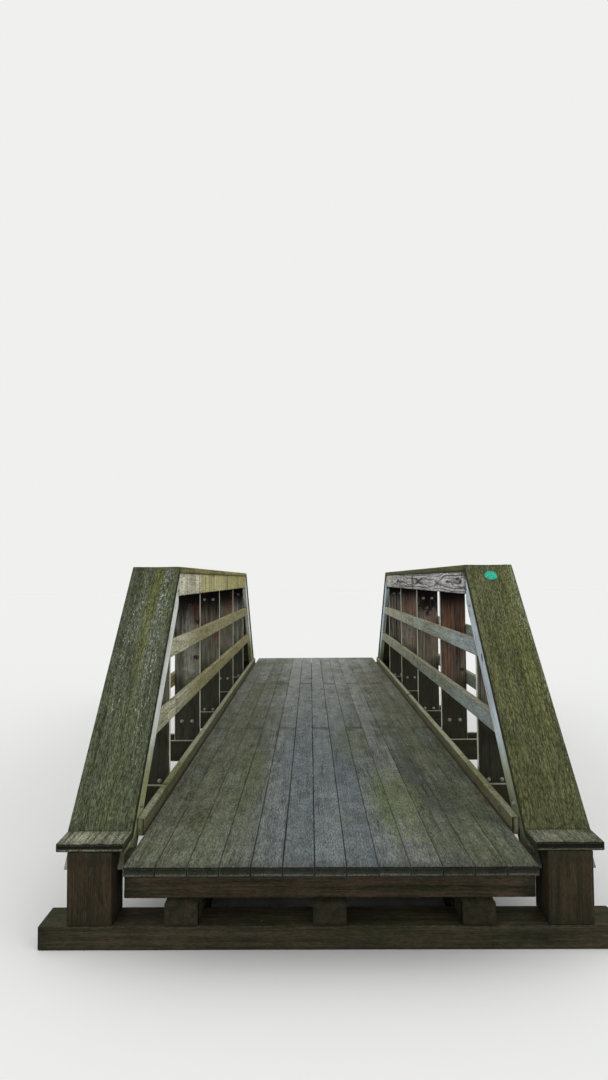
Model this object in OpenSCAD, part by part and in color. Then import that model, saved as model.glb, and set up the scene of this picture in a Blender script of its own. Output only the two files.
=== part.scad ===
// Timber footbridge: a plank walkway between two boxed parapets with raking ends.
// X runs across the walkway, Y along it, Z up. The origin is on the ground, under the middle.
// Every frame across the bridge is the same: two upright planks, one each side, held between
// a floor beam on their far face and a tie on their near face.

/* [Bays] */
// Distance between the centres of two upright planks
bay = 1219; // [1000:1:1500]
// Number of bays between the first and the last pair of uprights
bays = 4; // [2:2:6]

/* [Walkway] */
// Number of deck boards side by side
deck_boards_across = 13; // [9:2:17]
// Width of one deck board
deck_board_w = 123.7; // [90:0.1:145]
// Thickness of the deck boards
deck_t = 38; // [25:1:60]
// Joint left between two deck boards
deck_joint = 2; // [1:0.5:6]
// How far the deck runs out past the foot of the parapets
deck_overrun = 195; // [60:5:300]
// Width of the edge board that stands beside the deck, inside the raking strips
curb_w = 38; // [30:1:60]
// Height of that edge board, of which the deck hides the lower part
curb_h = 81; // [50:1:120]
// Open joint between the deck and the edge board
curb_gap = 17; // [2:1:40]
// How far the edge board ends short of the raking caps
curb_short = 54; // [10:1:150]

/* [Floor frame] */
// How far the floor beams, ties and sills reach out past the outer rails
beam_out = 82; // [0:1:400]
// Thickness of floor beams and ties
beam_t = 38; // [30:1:60]
// Height of the floor beams that carry the deck
beam_h = 184; // [140:1:240]
// Height of the ties on the near face of the uprights
tie_h = 150; // [60:1:180]
// Thickness of the beam at each end of the deck
end_beam_t = 89; // [60:1:100]
// Width of the stringers under the floor beams
stringer_w = 140; // [90:1:200]
// Height of the stringers
stringer_h = 184; // [150:1:300]
// Distance of the outer stringers' middle from the edge of the deck
stringer_in = 196; // [100:1:300]
// Width of the sills, along the bridge
sill_w = 190; // [150:1:260]
// Height of the sills
sill_h = 98; // [60:1:130]
// How far the stringers stay clear of the ground
stringer_lift = 6; // [2:1:20]

/* [Parapet] */
// Height of the parapet above the deck
parapet_h = 1207; // [1100:1:1400]
// Thickness of the upright planks, along the bridge
post_t = 38; // [30:1:60]
// Width of the upright planks, across the bridge
post_w = 190; // [150:1:240]
// Thickness of rails, fascias and raking strips
rail_t = 38; // [25:1:50]
// Height of the middle and low rails
rail_h = 92; // [70:1:110]
// Height of the top edge of the middle rail above the deck
mid_rail_top = 774; // [680:1:800]
// Height of the top edge of the low rail above the deck
low_rail_top = 422; // [300:1:480]
// Height of the fascia board under the cap
fascia_h = 140; // [90:1:190]
// Height of the raking strips, square to the rake
strip_h = 140; // [90:1:190]
// Thickness of the cap boards
cap_t = 38; // [30:1:60]
// How far the caps reach over the face of the rails
cap_lip = 10; // [3:1:30]
// How far the top corner lies inside the last upright
corner_in = 53; // [40:1:100]
// Level distance that the raking end covers
rake_run = 1195; // [1000:5:1500]
// Length of the level cap at the foot
foot_len = 155; // [120:5:260]
// Height of the level cap at the foot above the deck
foot_rise = 26; // [0:1:40]
// How far the raking strips run down beside the foot block
strip_tail = 96; // [50:1:150]
// Open joint where two lengths of board meet end to end
butt_joint = 2; // [1:0.5:5]

/* [Way mark] */
// Diameter of the round way mark on one raking cap
mark_d = 80; // [50:1:120]
// Thickness of the way mark
mark_t = 2; // [1:0.5:4]
// Distance of its centre from the top corner, down the rake
mark_down = 95; // [70:5:300]
// Distance of its centre from the inner edge of the cap
mark_from_edge = 143; // [80:1:200]

/* [Hidden] */
$fn = 48;
// Levels, from the ground up
beam_z = stringer_lift + stringer_h;
deck_under = beam_z + beam_h;
deck_z = deck_under + deck_t;
cap_z = deck_z + parapet_h;
cap_under = cap_z - cap_t;
foot_z = deck_z + foot_rise;
// Distances from the middle, across the bridge
deck_half = (deck_boards_across * (deck_board_w + deck_joint) - deck_joint) / 2;
stringer_x = deck_half - stringer_in;
curb_in = deck_half + curb_gap;
face_in = curb_in + curb_w;
post_in = face_in + rail_t;
post_out = post_in + post_w;
face_out = post_out + rail_t;
cap_in = face_in - cap_lip;
cap_out = face_out + cap_lip;
beam_end = face_out + beam_out;
// Distances from the middle, along the bridge
half_span = bays * bay / 2;
corner_y = half_span - corner_in;
foot_y = corner_y + rake_run;
foot_end = foot_y + foot_len;
deck_end = foot_end + deck_overrun;
sill_in = foot_end - sill_w;
// The rake: its slope, and the mitre that a board of the caps' thickness needs at each bend
rake = atan2(cap_z - foot_z, rake_run);
mitre = cap_t * tan(rake / 2);
strip_under = cap_t + strip_h;
// Level of a line that lies at depth d under the rake's top face, at the distance y from the middle
function rake_z(y, d) = cap_z - (y - corner_y) * tan(rake) - d / cos(rake);
// Distance from the middle at which that line comes down to the level z
function rake_y(z, d) = corner_y + (cap_z - z - d / cos(rake)) / tan(rake);
// Centre of each frame along the bridge, and of the floor beam on its far face
function frame_y(i) = i * bay;
function beam_y(i) = frame_y(i) + (post_t + beam_t) / 2;
first_frame = -bays / 2;
last_frame = bays / 2;

// Colours
grey_deck = [0.36, 0.38, 0.36];
grey_wood = [0.56, 0.57, 0.50];
brown_wood = [0.42, 0.34, 0.28];
dark_wood = [0.30, 0.27, 0.22];
green_cap = [0.38, 0.41, 0.24];
mark_green = [0.05, 0.62, 0.46];

// A board of constant section across the bridge: an outline in Y and Z, from x0 to x1
module across(x0, x1, outline) {
    translate([x0, 0, 0]) rotate([90, 0, 90]) linear_extrude(x1 - x0) polygon(outline);
}

// The same board on one side of the bridge: side is 1 on the right and -1 on the left
module on_side(side, x0, x1, outline) {
    across(side > 0 ? x0 : -x1, side > 0 ? x1 : -x0, outline);
}

// A plain squared timber
module timber(x, y, z) {
    translate([x[0], y[0], z[0]]) cube([x[1] - x[0], y[1] - y[0], z[1] - z[0]]);
}

// Outline turned to the other end of the bridge
function far_end(outline) = [for (i = [len(outline) - 1 : -1 : 0]) [-outline[i][0], outline[i][1]]];

// Sills and stringers

module sill(end) {
    y = end > 0 ? [sill_in, foot_end] : [-foot_end, -sill_in];
    timber([-beam_end, beam_end], y, [0, sill_h]);
}

module sill_near() {
    color(dark_wood) sill(-1);
}

module sill_far() {
    color(dark_wood) sill(1);
}

// The lower part is cut away at both ends, so that the upper part rests on the sills
module stringer(x) {
    shoulder = sill_in - butt_joint;
    across(x - stringer_w / 2, x + stringer_w / 2, [
        [-foot_end, beam_z], [-foot_end, sill_h],
        [-shoulder, sill_h], [-shoulder, stringer_lift],
        [shoulder, stringer_lift], [shoulder, sill_h],
        [foot_end, sill_h], [foot_end, beam_z]
    ]);
}

module stringer_left() {
    color(dark_wood) stringer(-stringer_x);
}

module stringer_mid() {
    color(dark_wood) stringer(0);
}

module stringer_right() {
    color(dark_wood) stringer(stringer_x);
}

// Floor beams, ties and deck

module floor_beams() {
    color(dark_wood) for (i = [first_frame : last_frame])
        timber([-beam_end, beam_end], [beam_y(i) - beam_t / 2, beam_y(i) + beam_t / 2], [beam_z, deck_under]);
}

module tie_beams() {
    color(dark_wood) for (i = [first_frame : last_frame])
        timber([-beam_end, beam_end], [frame_y(i) - post_t / 2 - beam_t, frame_y(i) - post_t / 2],
               [beam_z, beam_z + tie_h]);
}

// The last beam of the deck stands on the stringers, over the sill
module end_beams() {
    y0 = (sill_in + foot_end - end_beam_t) / 2;
    color(dark_wood) for (end = [-1, 1])
        timber([-face_in, face_in], end > 0 ? [y0, y0 + end_beam_t] : [-y0 - end_beam_t, -y0], [beam_z, deck_under]);
}

// Every board is two lengths that meet on a floor beam, at either side of the middle by turns
module deck() {
    pitch = deck_board_w + deck_joint;
    color(grey_deck) for (i = [0 : deck_boards_across - 1]) {
        x = -deck_half + i * pitch;
        meet = beam_y(i % 2 == 0 ? -1 : 1);
        timber([x, x + deck_board_w], [-deck_end, meet - butt_joint / 2], [deck_under, deck_z]);
        timber([x, x + deck_board_w], [meet + butt_joint / 2, deck_end], [deck_under, deck_z]);
    }
}

// The edge board ends before the raking cap comes down to its top edge
module curb(side) {
    top = deck_under + curb_h;
    y = rake_y(top, cap_t) - curb_short;
    on_side(side, curb_in, face_in, [[-y, deck_under], [y, deck_under], [y, top], [-y, top]]);
}

module curb_left() {
    color(grey_wood) curb(-1);
}

module curb_right() {
    color(grey_wood) curb(1);
}

// Uprights and foot blocks

// Everything under the caps, as one solid that the uprights are cut by
module under_caps(side) {
    on_side(side, post_in - 1, post_out + 1, [
        [-foot_end, 0], [foot_end, 0], [foot_end, rake_z(foot_end, cap_t)],
        [corner_y - mitre, cap_under], [mitre - corner_y, cap_under], [-foot_end, rake_z(foot_end, cap_t)]
    ]);
}

// Only the first and the last upright reach into the rake
module posts(side) {
    for (i = [first_frame : last_frame])
        if (abs(i) < last_frame)
            on_side(side, post_in, post_out, post_outline(i, cap_under));
        else
            intersection() {
                on_side(side, post_in, post_out, post_outline(i, cap_z));
                under_caps(side);
            }
}

function post_outline(i, top) = [
    [frame_y(i) - post_t / 2, beam_z], [frame_y(i) + post_t / 2, beam_z],
    [frame_y(i) + post_t / 2, top], [frame_y(i) - post_t / 2, top]
];

module posts_left() {
    color(brown_wood) posts(-1);
}

module posts_right() {
    color(brown_wood) posts(1);
}

// A square block under the foot of the rake, standing on the sill
module foot_blocks(side) {
    x = side > 0 ? [post_in, post_out] : [-post_out, -post_in];
    for (end = [-1, 1])
        timber(x, end > 0 ? [sill_in, foot_end] : [-foot_end, -sill_in], [sill_h, foot_z - cap_t]);
}

module foot_blocks_left() {
    color(dark_wood) foot_blocks(-1);
}

module foot_blocks_right() {
    color(dark_wood) foot_blocks(1);
}

// Fascias, rails and raking strips, all nailed to the edges of the uprights

// Plumb ends, right under the bend of the caps
module fascia(side, inner) {
    y = corner_y - mitre;
    on_face(side, inner, [[-y, cap_under - fascia_h], [y, cap_under - fascia_h], [y, cap_under], [-y, cap_under]]);
}

module on_face(side, inner, outline) {
    on_side(side, inner ? face_in : post_out, inner ? post_in : face_out, outline);
}

// A rail in two lengths that meet on the upright with the number joint_at,
// its ends cut to the underside of the raking strips
module rail(side, inner, top, joint_at) {
    meet = frame_y(joint_at);
    low = top - rail_h;
    on_face(side, inner, [
        [-rake_y(top, strip_under), top], [-rake_y(low, strip_under), low],
        [meet - butt_joint / 2, low], [meet - butt_joint / 2, top]
    ]);
    on_face(side, inner, [
        [meet + butt_joint / 2, top], [meet + butt_joint / 2, low],
        [rake_y(low, strip_under), low], [rake_y(top, strip_under), top]
    ]);
}

// A strip close under the raking cap, plumb at the fascia and level at its foot
module strips(side, inner) {
    y = corner_y - mitre;
    low = foot_z - cap_t - strip_tail;
    outline = [
        [y, cap_under], [y, rake_z(y, strip_under)],
        [rake_y(low, strip_under), low], [rake_y(low, cap_t), low]
    ];
    on_face(side, inner, outline);
    on_face(side, inner, far_end(outline));
}

module fascia_left_in() {
    color(grey_wood) fascia(-1, true);
}

module fascia_left_out() {
    color(grey_wood) fascia(-1, false);
}

module fascia_right_in() {
    color(grey_wood) fascia(1, true);
}

module fascia_right_out() {
    color(grey_wood) fascia(1, false);
}

module mid_rail_left_in() {
    color(grey_wood) rail(-1, true, deck_z + mid_rail_top, 1);
}

module mid_rail_left_out() {
    color(grey_wood) rail(-1, false, deck_z + mid_rail_top, 0);
}

module mid_rail_right_in() {
    color(grey_wood) rail(1, true, deck_z + mid_rail_top, 0);
}

module mid_rail_right_out() {
    color(grey_wood) rail(1, false, deck_z + mid_rail_top, -1);
}

module low_rail_left_in() {
    color(grey_wood) rail(-1, true, deck_z + low_rail_top, first_frame);
}

module low_rail_left_out() {
    color(grey_wood) rail(-1, false, deck_z + low_rail_top, 1);
}

module low_rail_right_in() {
    color(grey_wood) rail(1, true, deck_z + low_rail_top, -1);
}

module low_rail_right_out() {
    color(grey_wood) rail(1, false, deck_z + low_rail_top, 0);
}

module strips_left_in() {
    color(grey_wood) strips(-1, true);
}

module strips_left_out() {
    color(grey_wood) strips(-1, false);
}

module strips_right_in() {
    color(grey_wood) strips(1, true);
}

module strips_right_out() {
    color(grey_wood) strips(1, false);
}

// Caps, mitred into each other at the bends

module cap(side) {
    on_side(side, cap_in, cap_out, [
        [-corner_y, cap_z], [mitre - corner_y, cap_under], [corner_y - mitre, cap_under], [corner_y, cap_z]
    ]);
}

module raking_caps(side) {
    outline = [
        [corner_y, cap_z], [corner_y - mitre, cap_under],
        [foot_y - mitre, foot_z - cap_t], [foot_y, foot_z]
    ];
    on_side(side, cap_in, cap_out, outline);
    on_side(side, cap_in, cap_out, far_end(outline));
}

module foot_caps(side) {
    outline = [
        [foot_y, foot_z], [foot_y - mitre, foot_z - cap_t],
        [foot_end, foot_z - cap_t], [foot_end, foot_z]
    ];
    on_side(side, cap_in, cap_out, outline);
    on_side(side, cap_in, cap_out, far_end(outline));
}

module cap_left() {
    color(green_cap) cap(-1);
}

module cap_right() {
    color(green_cap) cap(1);
}

module raking_caps_left() {
    color(green_cap) raking_caps(-1);
}

module raking_caps_right() {
    color(green_cap) raking_caps(1);
}

module foot_caps_left() {
    color(green_cap) foot_caps(-1);
}

module foot_caps_right() {
    color(green_cap) foot_caps(1);
}

// A thin round plate that lies on the near raking cap of the right parapet
module way_mark() {
    color(mark_green)
        translate([cap_in + mark_from_edge, -corner_y - mark_down * cos(rake), cap_z - mark_down * sin(rake)])
            rotate([rake, 0, 0])
                cylinder(d = mark_d, h = mark_t);
}

sill_near();
sill_far();
stringer_left();
stringer_mid();
stringer_right();
floor_beams();
tie_beams();
end_beams();
deck();
curb_left();
curb_right();
posts_left();
posts_right();
foot_blocks_left();
foot_blocks_right();
fascia_left_in();
fascia_left_out();
fascia_right_in();
fascia_right_out();
mid_rail_left_in();
mid_rail_left_out();
mid_rail_right_in();
mid_rail_right_out();
low_rail_left_in();
low_rail_left_out();
low_rail_right_in();
low_rail_right_out();
strips_left_in();
strips_left_out();
strips_right_in();
strips_right_out();
cap_left();
cap_right();
raking_caps_left();
raking_caps_right();
foot_caps_left();
foot_caps_right();
way_mark();
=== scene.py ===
"""Looks of a timber trail footbridge: weathered boards, fixings, finishes, and the stage they stand on."""
import math

import bpy
import numpy as np
from mathutils import Matrix, Vector


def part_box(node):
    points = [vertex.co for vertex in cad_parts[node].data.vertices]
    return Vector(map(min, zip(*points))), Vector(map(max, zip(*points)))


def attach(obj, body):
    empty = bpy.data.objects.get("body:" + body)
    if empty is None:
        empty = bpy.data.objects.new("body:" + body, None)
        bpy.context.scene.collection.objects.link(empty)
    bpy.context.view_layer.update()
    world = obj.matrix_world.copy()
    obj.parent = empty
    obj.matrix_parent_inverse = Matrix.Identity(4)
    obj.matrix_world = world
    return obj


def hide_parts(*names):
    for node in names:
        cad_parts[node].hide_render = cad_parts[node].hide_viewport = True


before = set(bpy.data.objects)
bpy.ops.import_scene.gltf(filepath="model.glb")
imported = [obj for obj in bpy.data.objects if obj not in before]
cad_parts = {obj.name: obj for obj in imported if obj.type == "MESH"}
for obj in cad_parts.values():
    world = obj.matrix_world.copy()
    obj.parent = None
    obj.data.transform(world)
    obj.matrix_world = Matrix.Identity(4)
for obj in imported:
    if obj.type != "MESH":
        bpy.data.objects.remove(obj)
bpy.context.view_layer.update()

bl_info = {
    "name": "Timber Footbridge",
    "version": (1, 0, 0),
    "blender": (4, 5, 0),
    "location": "View3D > Sidebar > Footbridge",
    "description": "Dresses the packed footbridge in weathered boards, bolts and nails",
    "category": "Object",
}

# The bridge's sizes, read from its parts

DECK_LOW, DECK_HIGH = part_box("deck")
CAP_LOW, CAP_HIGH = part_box("cap_right")
FOOT_LOW, FOOT_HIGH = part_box("foot_caps_right")
POST_LOW, POST_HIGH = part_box("posts_right")
RAIL_LOW, RAIL_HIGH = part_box("mid_rail_right_in")
STRIP_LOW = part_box("strips_right_in")[0]
FASCIA_LOW, FASCIA_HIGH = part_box("fascia_right_in")
SILL_LOW, SILL_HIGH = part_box("sill_far")

CAP_T = CAP_HIGH.z - CAP_LOW.z
CORNER_Y = CAP_HIGH.y
FOOT_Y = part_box("raking_caps_right")[1].y
FOOT_END = FOOT_HIGH.y
RAKE = math.atan2(CAP_HIGH.z - FOOT_HIGH.z, FOOT_Y - CORNER_Y)
RAKE_LONG = math.hypot(CAP_HIGH.z - FOOT_HIGH.z, FOOT_Y - CORNER_Y)
MITRE = CAP_T * math.tan(RAKE / 2)
RAIL_H = RAIL_HIGH.z - RAIL_LOW.z
STRIP_H = FASCIA_HIGH.z - FASCIA_LOW.z
STRIP_UNDER = CAP_T + STRIP_H
RAIL_T = RAIL_HIGH.x - RAIL_LOW.x
# thickness of the uprights, floor beams and ties, and of the beams under the deck's ends
POST_T = 0.038
END_BEAM_T = 0.089
BAY = (POST_HIGH.y - POST_T / 2) / 2
FRAMES = (-2, -1, 0, 1, 2)
# the gap where two lengths of a board meet
BUTT = 0.001
# left and right parapet, near and far end; each parapet's outer and inner face
BOTH = (-1, 1)
NAMES = {-1: "left", 1: "right"}
WHERE = {True: "in", False: "out"}
FACES = [(side, inner) for side in BOTH for inner in (True, False)]
# distance from the middle and height of the bolts and nails in a raking strip
STRIP_BOLTS = ((3.37, 0.486), (3.43, 0.424))
STRIP_NAILS = ((2.377, 1.468), (2.466, 1.372))
# how far above and below a board's middle line its nails stand
NAIL_ROWS = {"fascia": (-0.045, 0.0, 0.045), "mid_rail": (-0.024, 0.024), "low_rail": (-0.024, 0.024)}
# what makes the lit floor as bright as the sky behind it
FLOOR_LIFT = 1.048

ACROSS = Vector((1, 0, 0))
AHEAD = Vector((0, 1, 0))
UP = Vector((0, 0, 1))
HALF_ROOT = math.sqrt(0.5)
# an end's rounding: its two rings, as shares of the arris along the board and into it
ROUND_ALONG = (1, 0.7)
ROUND_IN = (1, 0.286)
# points of the outline nearer to an arris than this lie on it
ON_ARRIS = 0.001
# depth of the pits in the end grain
END_PITS = 0.0009
# distance of the mesh's columns across a narrow board, and of its rows through any board
NARROW = 0.009
THROUGH_STEP = 0.02
# how far a drying check wanders to the side
CHECK_STRAY = 0.0022


def linear(red, green, blue):
    """A colour as it is seen on a screen, 0 to 255, as the light that Blender works with."""
    seen = np.array((red, green, blue)) / 255
    light = np.where(seen <= 0.04045, seen / 12.92, ((seen + 0.055) / 1.055) ** 2.4)
    return tuple(float(value) for value in light)


def shade(tint, level):
    """A colour made darker or brighter."""
    return [level * value for value in tint]


def colour(name, words, red, green, blue):
    """A colour that a user may change."""
    return bpy.props.FloatVectorProperty(
        name=name, description=words, subtype="COLOR", size=3, min=0, max=1,
        default=linear(red, green, blue))


def length(name, words, metres, high=1.0):
    """A length that a user may change."""
    return bpy.props.FloatProperty(
        name=name, description=words, default=metres, min=0, max=high, unit="LENGTH", precision=4)


def angle(name, words, value):
    """An angle that a user may change."""
    return bpy.props.FloatProperty(name=name, description=words, default=value, subtype="ANGLE")


def amount(name, words, value, high=1.0):
    """A plain share that a user may change."""
    return bpy.props.FloatProperty(
        name=name, description=words, default=value, min=0, max=high, subtype="FACTOR")


# Settings

class TimberSettings(bpy.types.PropertyGroup):
    """How the boards are cut and how far they have weathered."""
    deck_across: bpy.props.IntProperty(
        name="Deck boards", description="Number of deck boards side by side", default=13, min=3, max=25)
    deck_joint: length("Deck joint", "Open joint between two deck boards", 0.002, 0.02)
    arris: length("Arris", "Radius of a board's worn long edges", 0.0035, 0.01)
    row_step: length("Row step", "Distance of the mesh's rows along a board", 0.055, 0.2)
    column_step: length("Column step", "Distance of the mesh's columns across a board", 0.011, 0.05)
    relief: length("Relief", "Depth of the worn hollows along the grain", 0.0007, 0.004)
    settle: length("Settle", "Most that one deck board lies lower than the next", 0.0011, 0.01)
    check_depth: length("Check depth", "Depth of the drying checks", 0.006, 0.02)
    check_width: length("Check width", "Half width of a drying check at the face", 0.0019, 0.005)


class FinishSettings(bpy.types.PropertyGroup):
    """Colours of the weathered timber and of what grows on it, and of the shade, highlights and sheen
    painted on it.
    """
    deck_pale: colour("Deck, worn", "Deck boards where feet keep them clean", 124, 127, 119)
    deck_dark: colour("Deck, dark", "Dark grain and wet parts of the deck", 70, 73, 66)
    deck_blue: colour("Deck, middle", "Blue grey of the trodden middle", 108, 117, 122)
    # painted sheen: the far part of the deck made paler for the sky's grazing reflection
    deck_far_sheen: colour("Deck, far", "Paler far half of the deck", 148, 150, 144)
    deck_green: colour("Deck, green", "Green film on the sides of the deck", 102, 106, 80)
    deck_moss: colour("Deck, moss", "Darker growth on the sides of the deck", 74, 77, 56)
    deck_patch: colour("Deck, patch", "Green patch near the right", 98, 107, 71)
    deck_brown: colour("Deck, brown", "Brownish far right of the deck", 112, 104, 90)
    cap_pale: colour("Cap, bare", "Bare wood of the caps", 120, 122, 106)
    cap_dark: colour("Cap, dark", "Dark grain of the caps", 66, 70, 54)
    level_olive: colour("Level cap, left", "Olive yellow side of the left level cap", 166, 158, 98)
    foot_pale: colour("Foot cap, bare", "Worn top of the foot caps", 166, 165, 140)
    # painted shade: near black front faces of the foot caps
    foot_front_shade: colour("Foot cap, front", "Near black front faces of the foot caps", 22, 23, 16)
    film_grey: colour("Film, left cap", "Grey green film of the left caps", 99, 105, 78)
    film_grey_dark: colour("Film, left cap, dark", "Darker grey green film", 54, 59, 44)
    film_olive: colour("Film, olive", "Yellow green stripes along the caps", 112, 116, 62)
    film_moss: colour("Film, right cap, dark", "Darker olive film of the right caps", 58, 61, 38)
    algae: colour("Algae", "Olive green film on damp wood", 112, 113, 74)
    moss: colour("Moss", "Darker growth in the hollows", 60, 63, 38)
    lichen: colour("Lichen", "Pale flecks of lichen", 158, 168, 158)
    lichen_green: colour("Lichen, green", "Greener flecks of lichen", 132, 138, 104)
    fascia_pale: colour("Fascia, left", "Bleached left fascia", 252, 250, 230)
    fascia_shade: colour("Fascia, left, dark", "Darker grain of the left fascia", 200, 197, 172)
    fascia_olive: colour("Fascia, left, olive", "Yellow green part of the left fascia", 214, 206, 134)
    fascia_far: colour("Fascia, left, far", "Olive far half of the left fascia", 168, 160, 92)
    fascia_stain: colour("Fascia stain, left", "Olive stain on the left side", 140, 132, 84)
    fascia_grey: colour("Fascia, right", "Silvered right fascia", 226, 226, 228)
    fascia_plum: colour("Fascia, right, stain", "Dull purple brown of the right fascia", 128, 118, 116)
    fascia_brown: colour("Fascia, right, brown", "Brown patch of the right fascia", 96, 72, 58)
    grain_dark: colour("Open grain", "Dark grain lines of silvered wood", 66, 62, 60)
    rail_left: colour("Rails, left", "Left rails", 220, 218, 188)
    rail_right: colour("Rails, right", "Right rails", 176, 192, 188)
    rail_stain: colour("Rails, right, stain", "Darker blotches of the right rails", 104, 108, 88)
    rail_edge: colour("Rails, right, top", "Rusty pale top edges of the right rails", 160, 148, 116)
    rail_dark: colour("Rails, dark", "Dark grain of the rails", 132, 130, 102)
    strip_left: colour("Strip, left", "Bleached left raking strip", 250, 252, 246)
    strip_shade: colour("Strip, left, dark", "Darker grain of the left raking strip", 206, 210, 202)
    strip_right: colour("Strip, right", "Blue grey right raking strip", 224, 236, 244)
    strip_blue: colour("Strip, right, dark", "Darker grain of the right raking strip", 168, 182, 190)
    strip_green: colour("Strip, green", "Yellow green foot of the raking strips", 142, 148, 92)
    post_pale: colour("Upright, left", "Paler weathered face of the left uprights", 182, 180, 172)
    post_grey: colour("Upright, grey", "Weathered face of an upright", 152, 150, 142)
    post_brown: colour("Upright, brown", "Sheltered brown wood", 142, 105, 83)
    post_green: colour("Upright, green", "Grey green middle of the uprights", 106, 113, 97)
    post_dark: colour("Upright, dark", "Dark grain and shade on the uprights", 58, 50, 43)
    # near black: painted shade on the uprights right under a fascia, partly stain; also the dark stain round
    # nails in the strips and a painted shade line under the near right level cap
    shade_and_stain: colour("Upright, sheltered", "Near black wood right under a fascia", 16, 13, 12)
    # bleached wood, made paler still as a painted highlight on the narrow edge faces of the uprights
    edge_bleach_and_light: colour("Upright, edge", "Bleached narrow edges of the uprights", 224, 222, 208)
    # dark green black of damp wood and dirt; also used as painted shade on the side faces of the caps and on
    # the lower uprights
    damp_and_shade: colour("Damp wood", "Wet green black wood near the ground", 40, 42, 30)
    frame_pale: colour("Frame timber", "Beams, ties, sills and stringers", 92, 86, 70)
    # painted light on ties and floor beams: tops painted pale as lit, faces dark from damp and painted shade
    tie_top_lit: colour("Tie, top", "Bleached top edges of ties and floor beams", 158, 156, 138)
    tie_face_damp_and_shade: colour("Tie, face", "Damp faces of ties and floor beams", 58, 56, 42)
    block_pale: colour("Foot block", "Dull brown foot blocks", 60, 54, 40)
    curb_pale: colour("Edge board", "Bleached top of the edge boards", 158, 161, 134)
    # moss together with painted shade on the side faces of the edge boards
    curb_side_shade_and_moss: colour("Edge board, side", "Mossy brown side of the edge boards", 84, 78, 56)
    knot: colour("Knot", "Knots and fresh splits", 58, 40, 30)
    mark: colour("Way mark", "Paint of the round way mark", 12, 176, 148)
    zinc: colour("Zinc", "Weathered zinc of the bolts", 150, 152, 150)
    rust: colour("Rust", "Rust on nails and bolts", 92, 54, 36)


class FixingSettings(bpy.types.PropertyGroup):
    """Bolts and nails."""
    bolt_apart: length("Bolt distance", "Distance between the two bolts of a pair", 0.0775, 0.2)
    bolt_in: length("Bolt place", "First bolt from the inner edge of an upright", 0.057, 0.1)
    bolt_high: length("Upper bolts", "Height of the upper bolts above the deck", 0.946, 1.1)
    bolt_mid: length("Lower bolts, odd", "Height of the odd frames' lower bolts above the deck", 0.066, 0.2)
    bolt_low: length("Lower bolts, even", "Depth of the even frames' lower bolts below the deck", 0.055, 0.1)
    head_flat: length("Head", "Distance across the flats of a bolt head", 0.017, 0.04)
    washer: length("Washer", "Diameter of a washer", 0.027, 0.06)
    nail_head: length("Nail head", "Diameter of a nail head", 0.0095, 0.02)


class StageSettings(bpy.types.PropertyGroup):
    """Camera, light and floor."""
    camera_at: bpy.props.FloatVectorProperty(
        name="Camera", description="Where the camera stands", subtype="XYZ", unit="LENGTH", size=3,
        default=(-0.0734, -6.927, DECK_HIGH.z + 1.1223))
    pitch: angle("Pitch", "Camera tilt, up", 0.053)
    yaw: angle("Yaw", "Camera turn, to the right", -0.0076)
    roll: angle("Roll", "Camera roll", -0.0066)
    lens: bpy.props.FloatProperty(
        name="Lens", description="Focal length on a 36 mm picture side", unit="CAMERA", default=24.97,
        min=8, max=200)
    dome: amount("Sky", "Light from the whole sky", 0.74, 4)
    key: amount("Key", "Light of each of the two soft side lamps", 0.648, 10)
    backdrop: colour("Backdrop", "Floor and background as the camera sees them", 240, 240, 238)
    floor_bounce: colour("Floor bounce", "Floor as the light finds it", 128, 126, 120)


# Boards

class Stack:
    """Boards that make up one piece: points, faces and what the finishes need to know of them."""

    def __init__(self):
        self.points, self.quads, self.log, self.wear, self.finish = [], [], [], [], []
        self.count = 0

    def lay(self, points, quads, log, wear, finish):
        """Adds a closed surface with its readings: log (place in the tree), wear (edge, end, seed) and
        finish (brown, bleaching, green)."""
        self.points.append(points)
        self.quads.append(quads + self.count)
        self.log.append(log)
        self.wear.append(wear)
        self.finish.append(np.broadcast_to(np.asarray(finish, float), points.shape))
        self.count += len(points)

    def piece(self, name, material, slot, nodes=()):
        """Makes the mesh, lets it ride on the bridge and stand for the CAD nodes."""
        readings = {"log": self.log, "wear": self.wear, "finish": self.finish}
        readings = {key: np.concatenate(values) for key, values in readings.items()}
        points, quads = np.concatenate(self.points), np.concatenate(self.quads)
        make_piece(name, points, quads, material, nodes, readings)


def make_piece(name, points, quads, material, nodes=(), readings=None):
    """A mesh object at the origin. A quad whose last two corners are the same is stored as a triangle."""
    mesh = bpy.data.meshes.new(name)
    sides = np.where(quads[:, 2] == quads[:, 3], 3, 4)
    corners = quads[np.arange(4)[None, :] < sides[:, None]]
    starts = np.concatenate([[0], np.cumsum(sides)[:-1]])
    mesh.vertices.add(len(points))
    mesh.vertices.foreach_set("co", points.astype(np.float32).ravel())
    mesh.loops.add(len(corners))
    mesh.loops.foreach_set("vertex_index", corners.astype(np.int32))
    mesh.polygons.add(len(quads))
    mesh.polygons.foreach_set("loop_start", starts.astype(np.int32))
    mesh.polygons.foreach_set("use_smooth", np.ones(len(quads), bool))
    mesh.update(calc_edges=True)
    for key, values in (readings or {}).items():
        layer = mesh.attributes.new(key, "FLOAT_VECTOR", "POINT")
        layer.data.foreach_set("vector", values.astype(np.float32).ravel())
    mesh.validate()
    mesh.materials.append(material)
    thing = bpy.data.objects.new(name, mesh)
    bpy.context.scene.collection.objects.link(thing)
    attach(thing, "root")
    if nodes:
        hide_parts(*nodes)


def spread(first, last, step, least=2):
    """Evenly spaced numbers from first to last, no further apart than step."""
    return np.linspace(first, last, max(least, math.ceil((last - first) / step) + 1))


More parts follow.
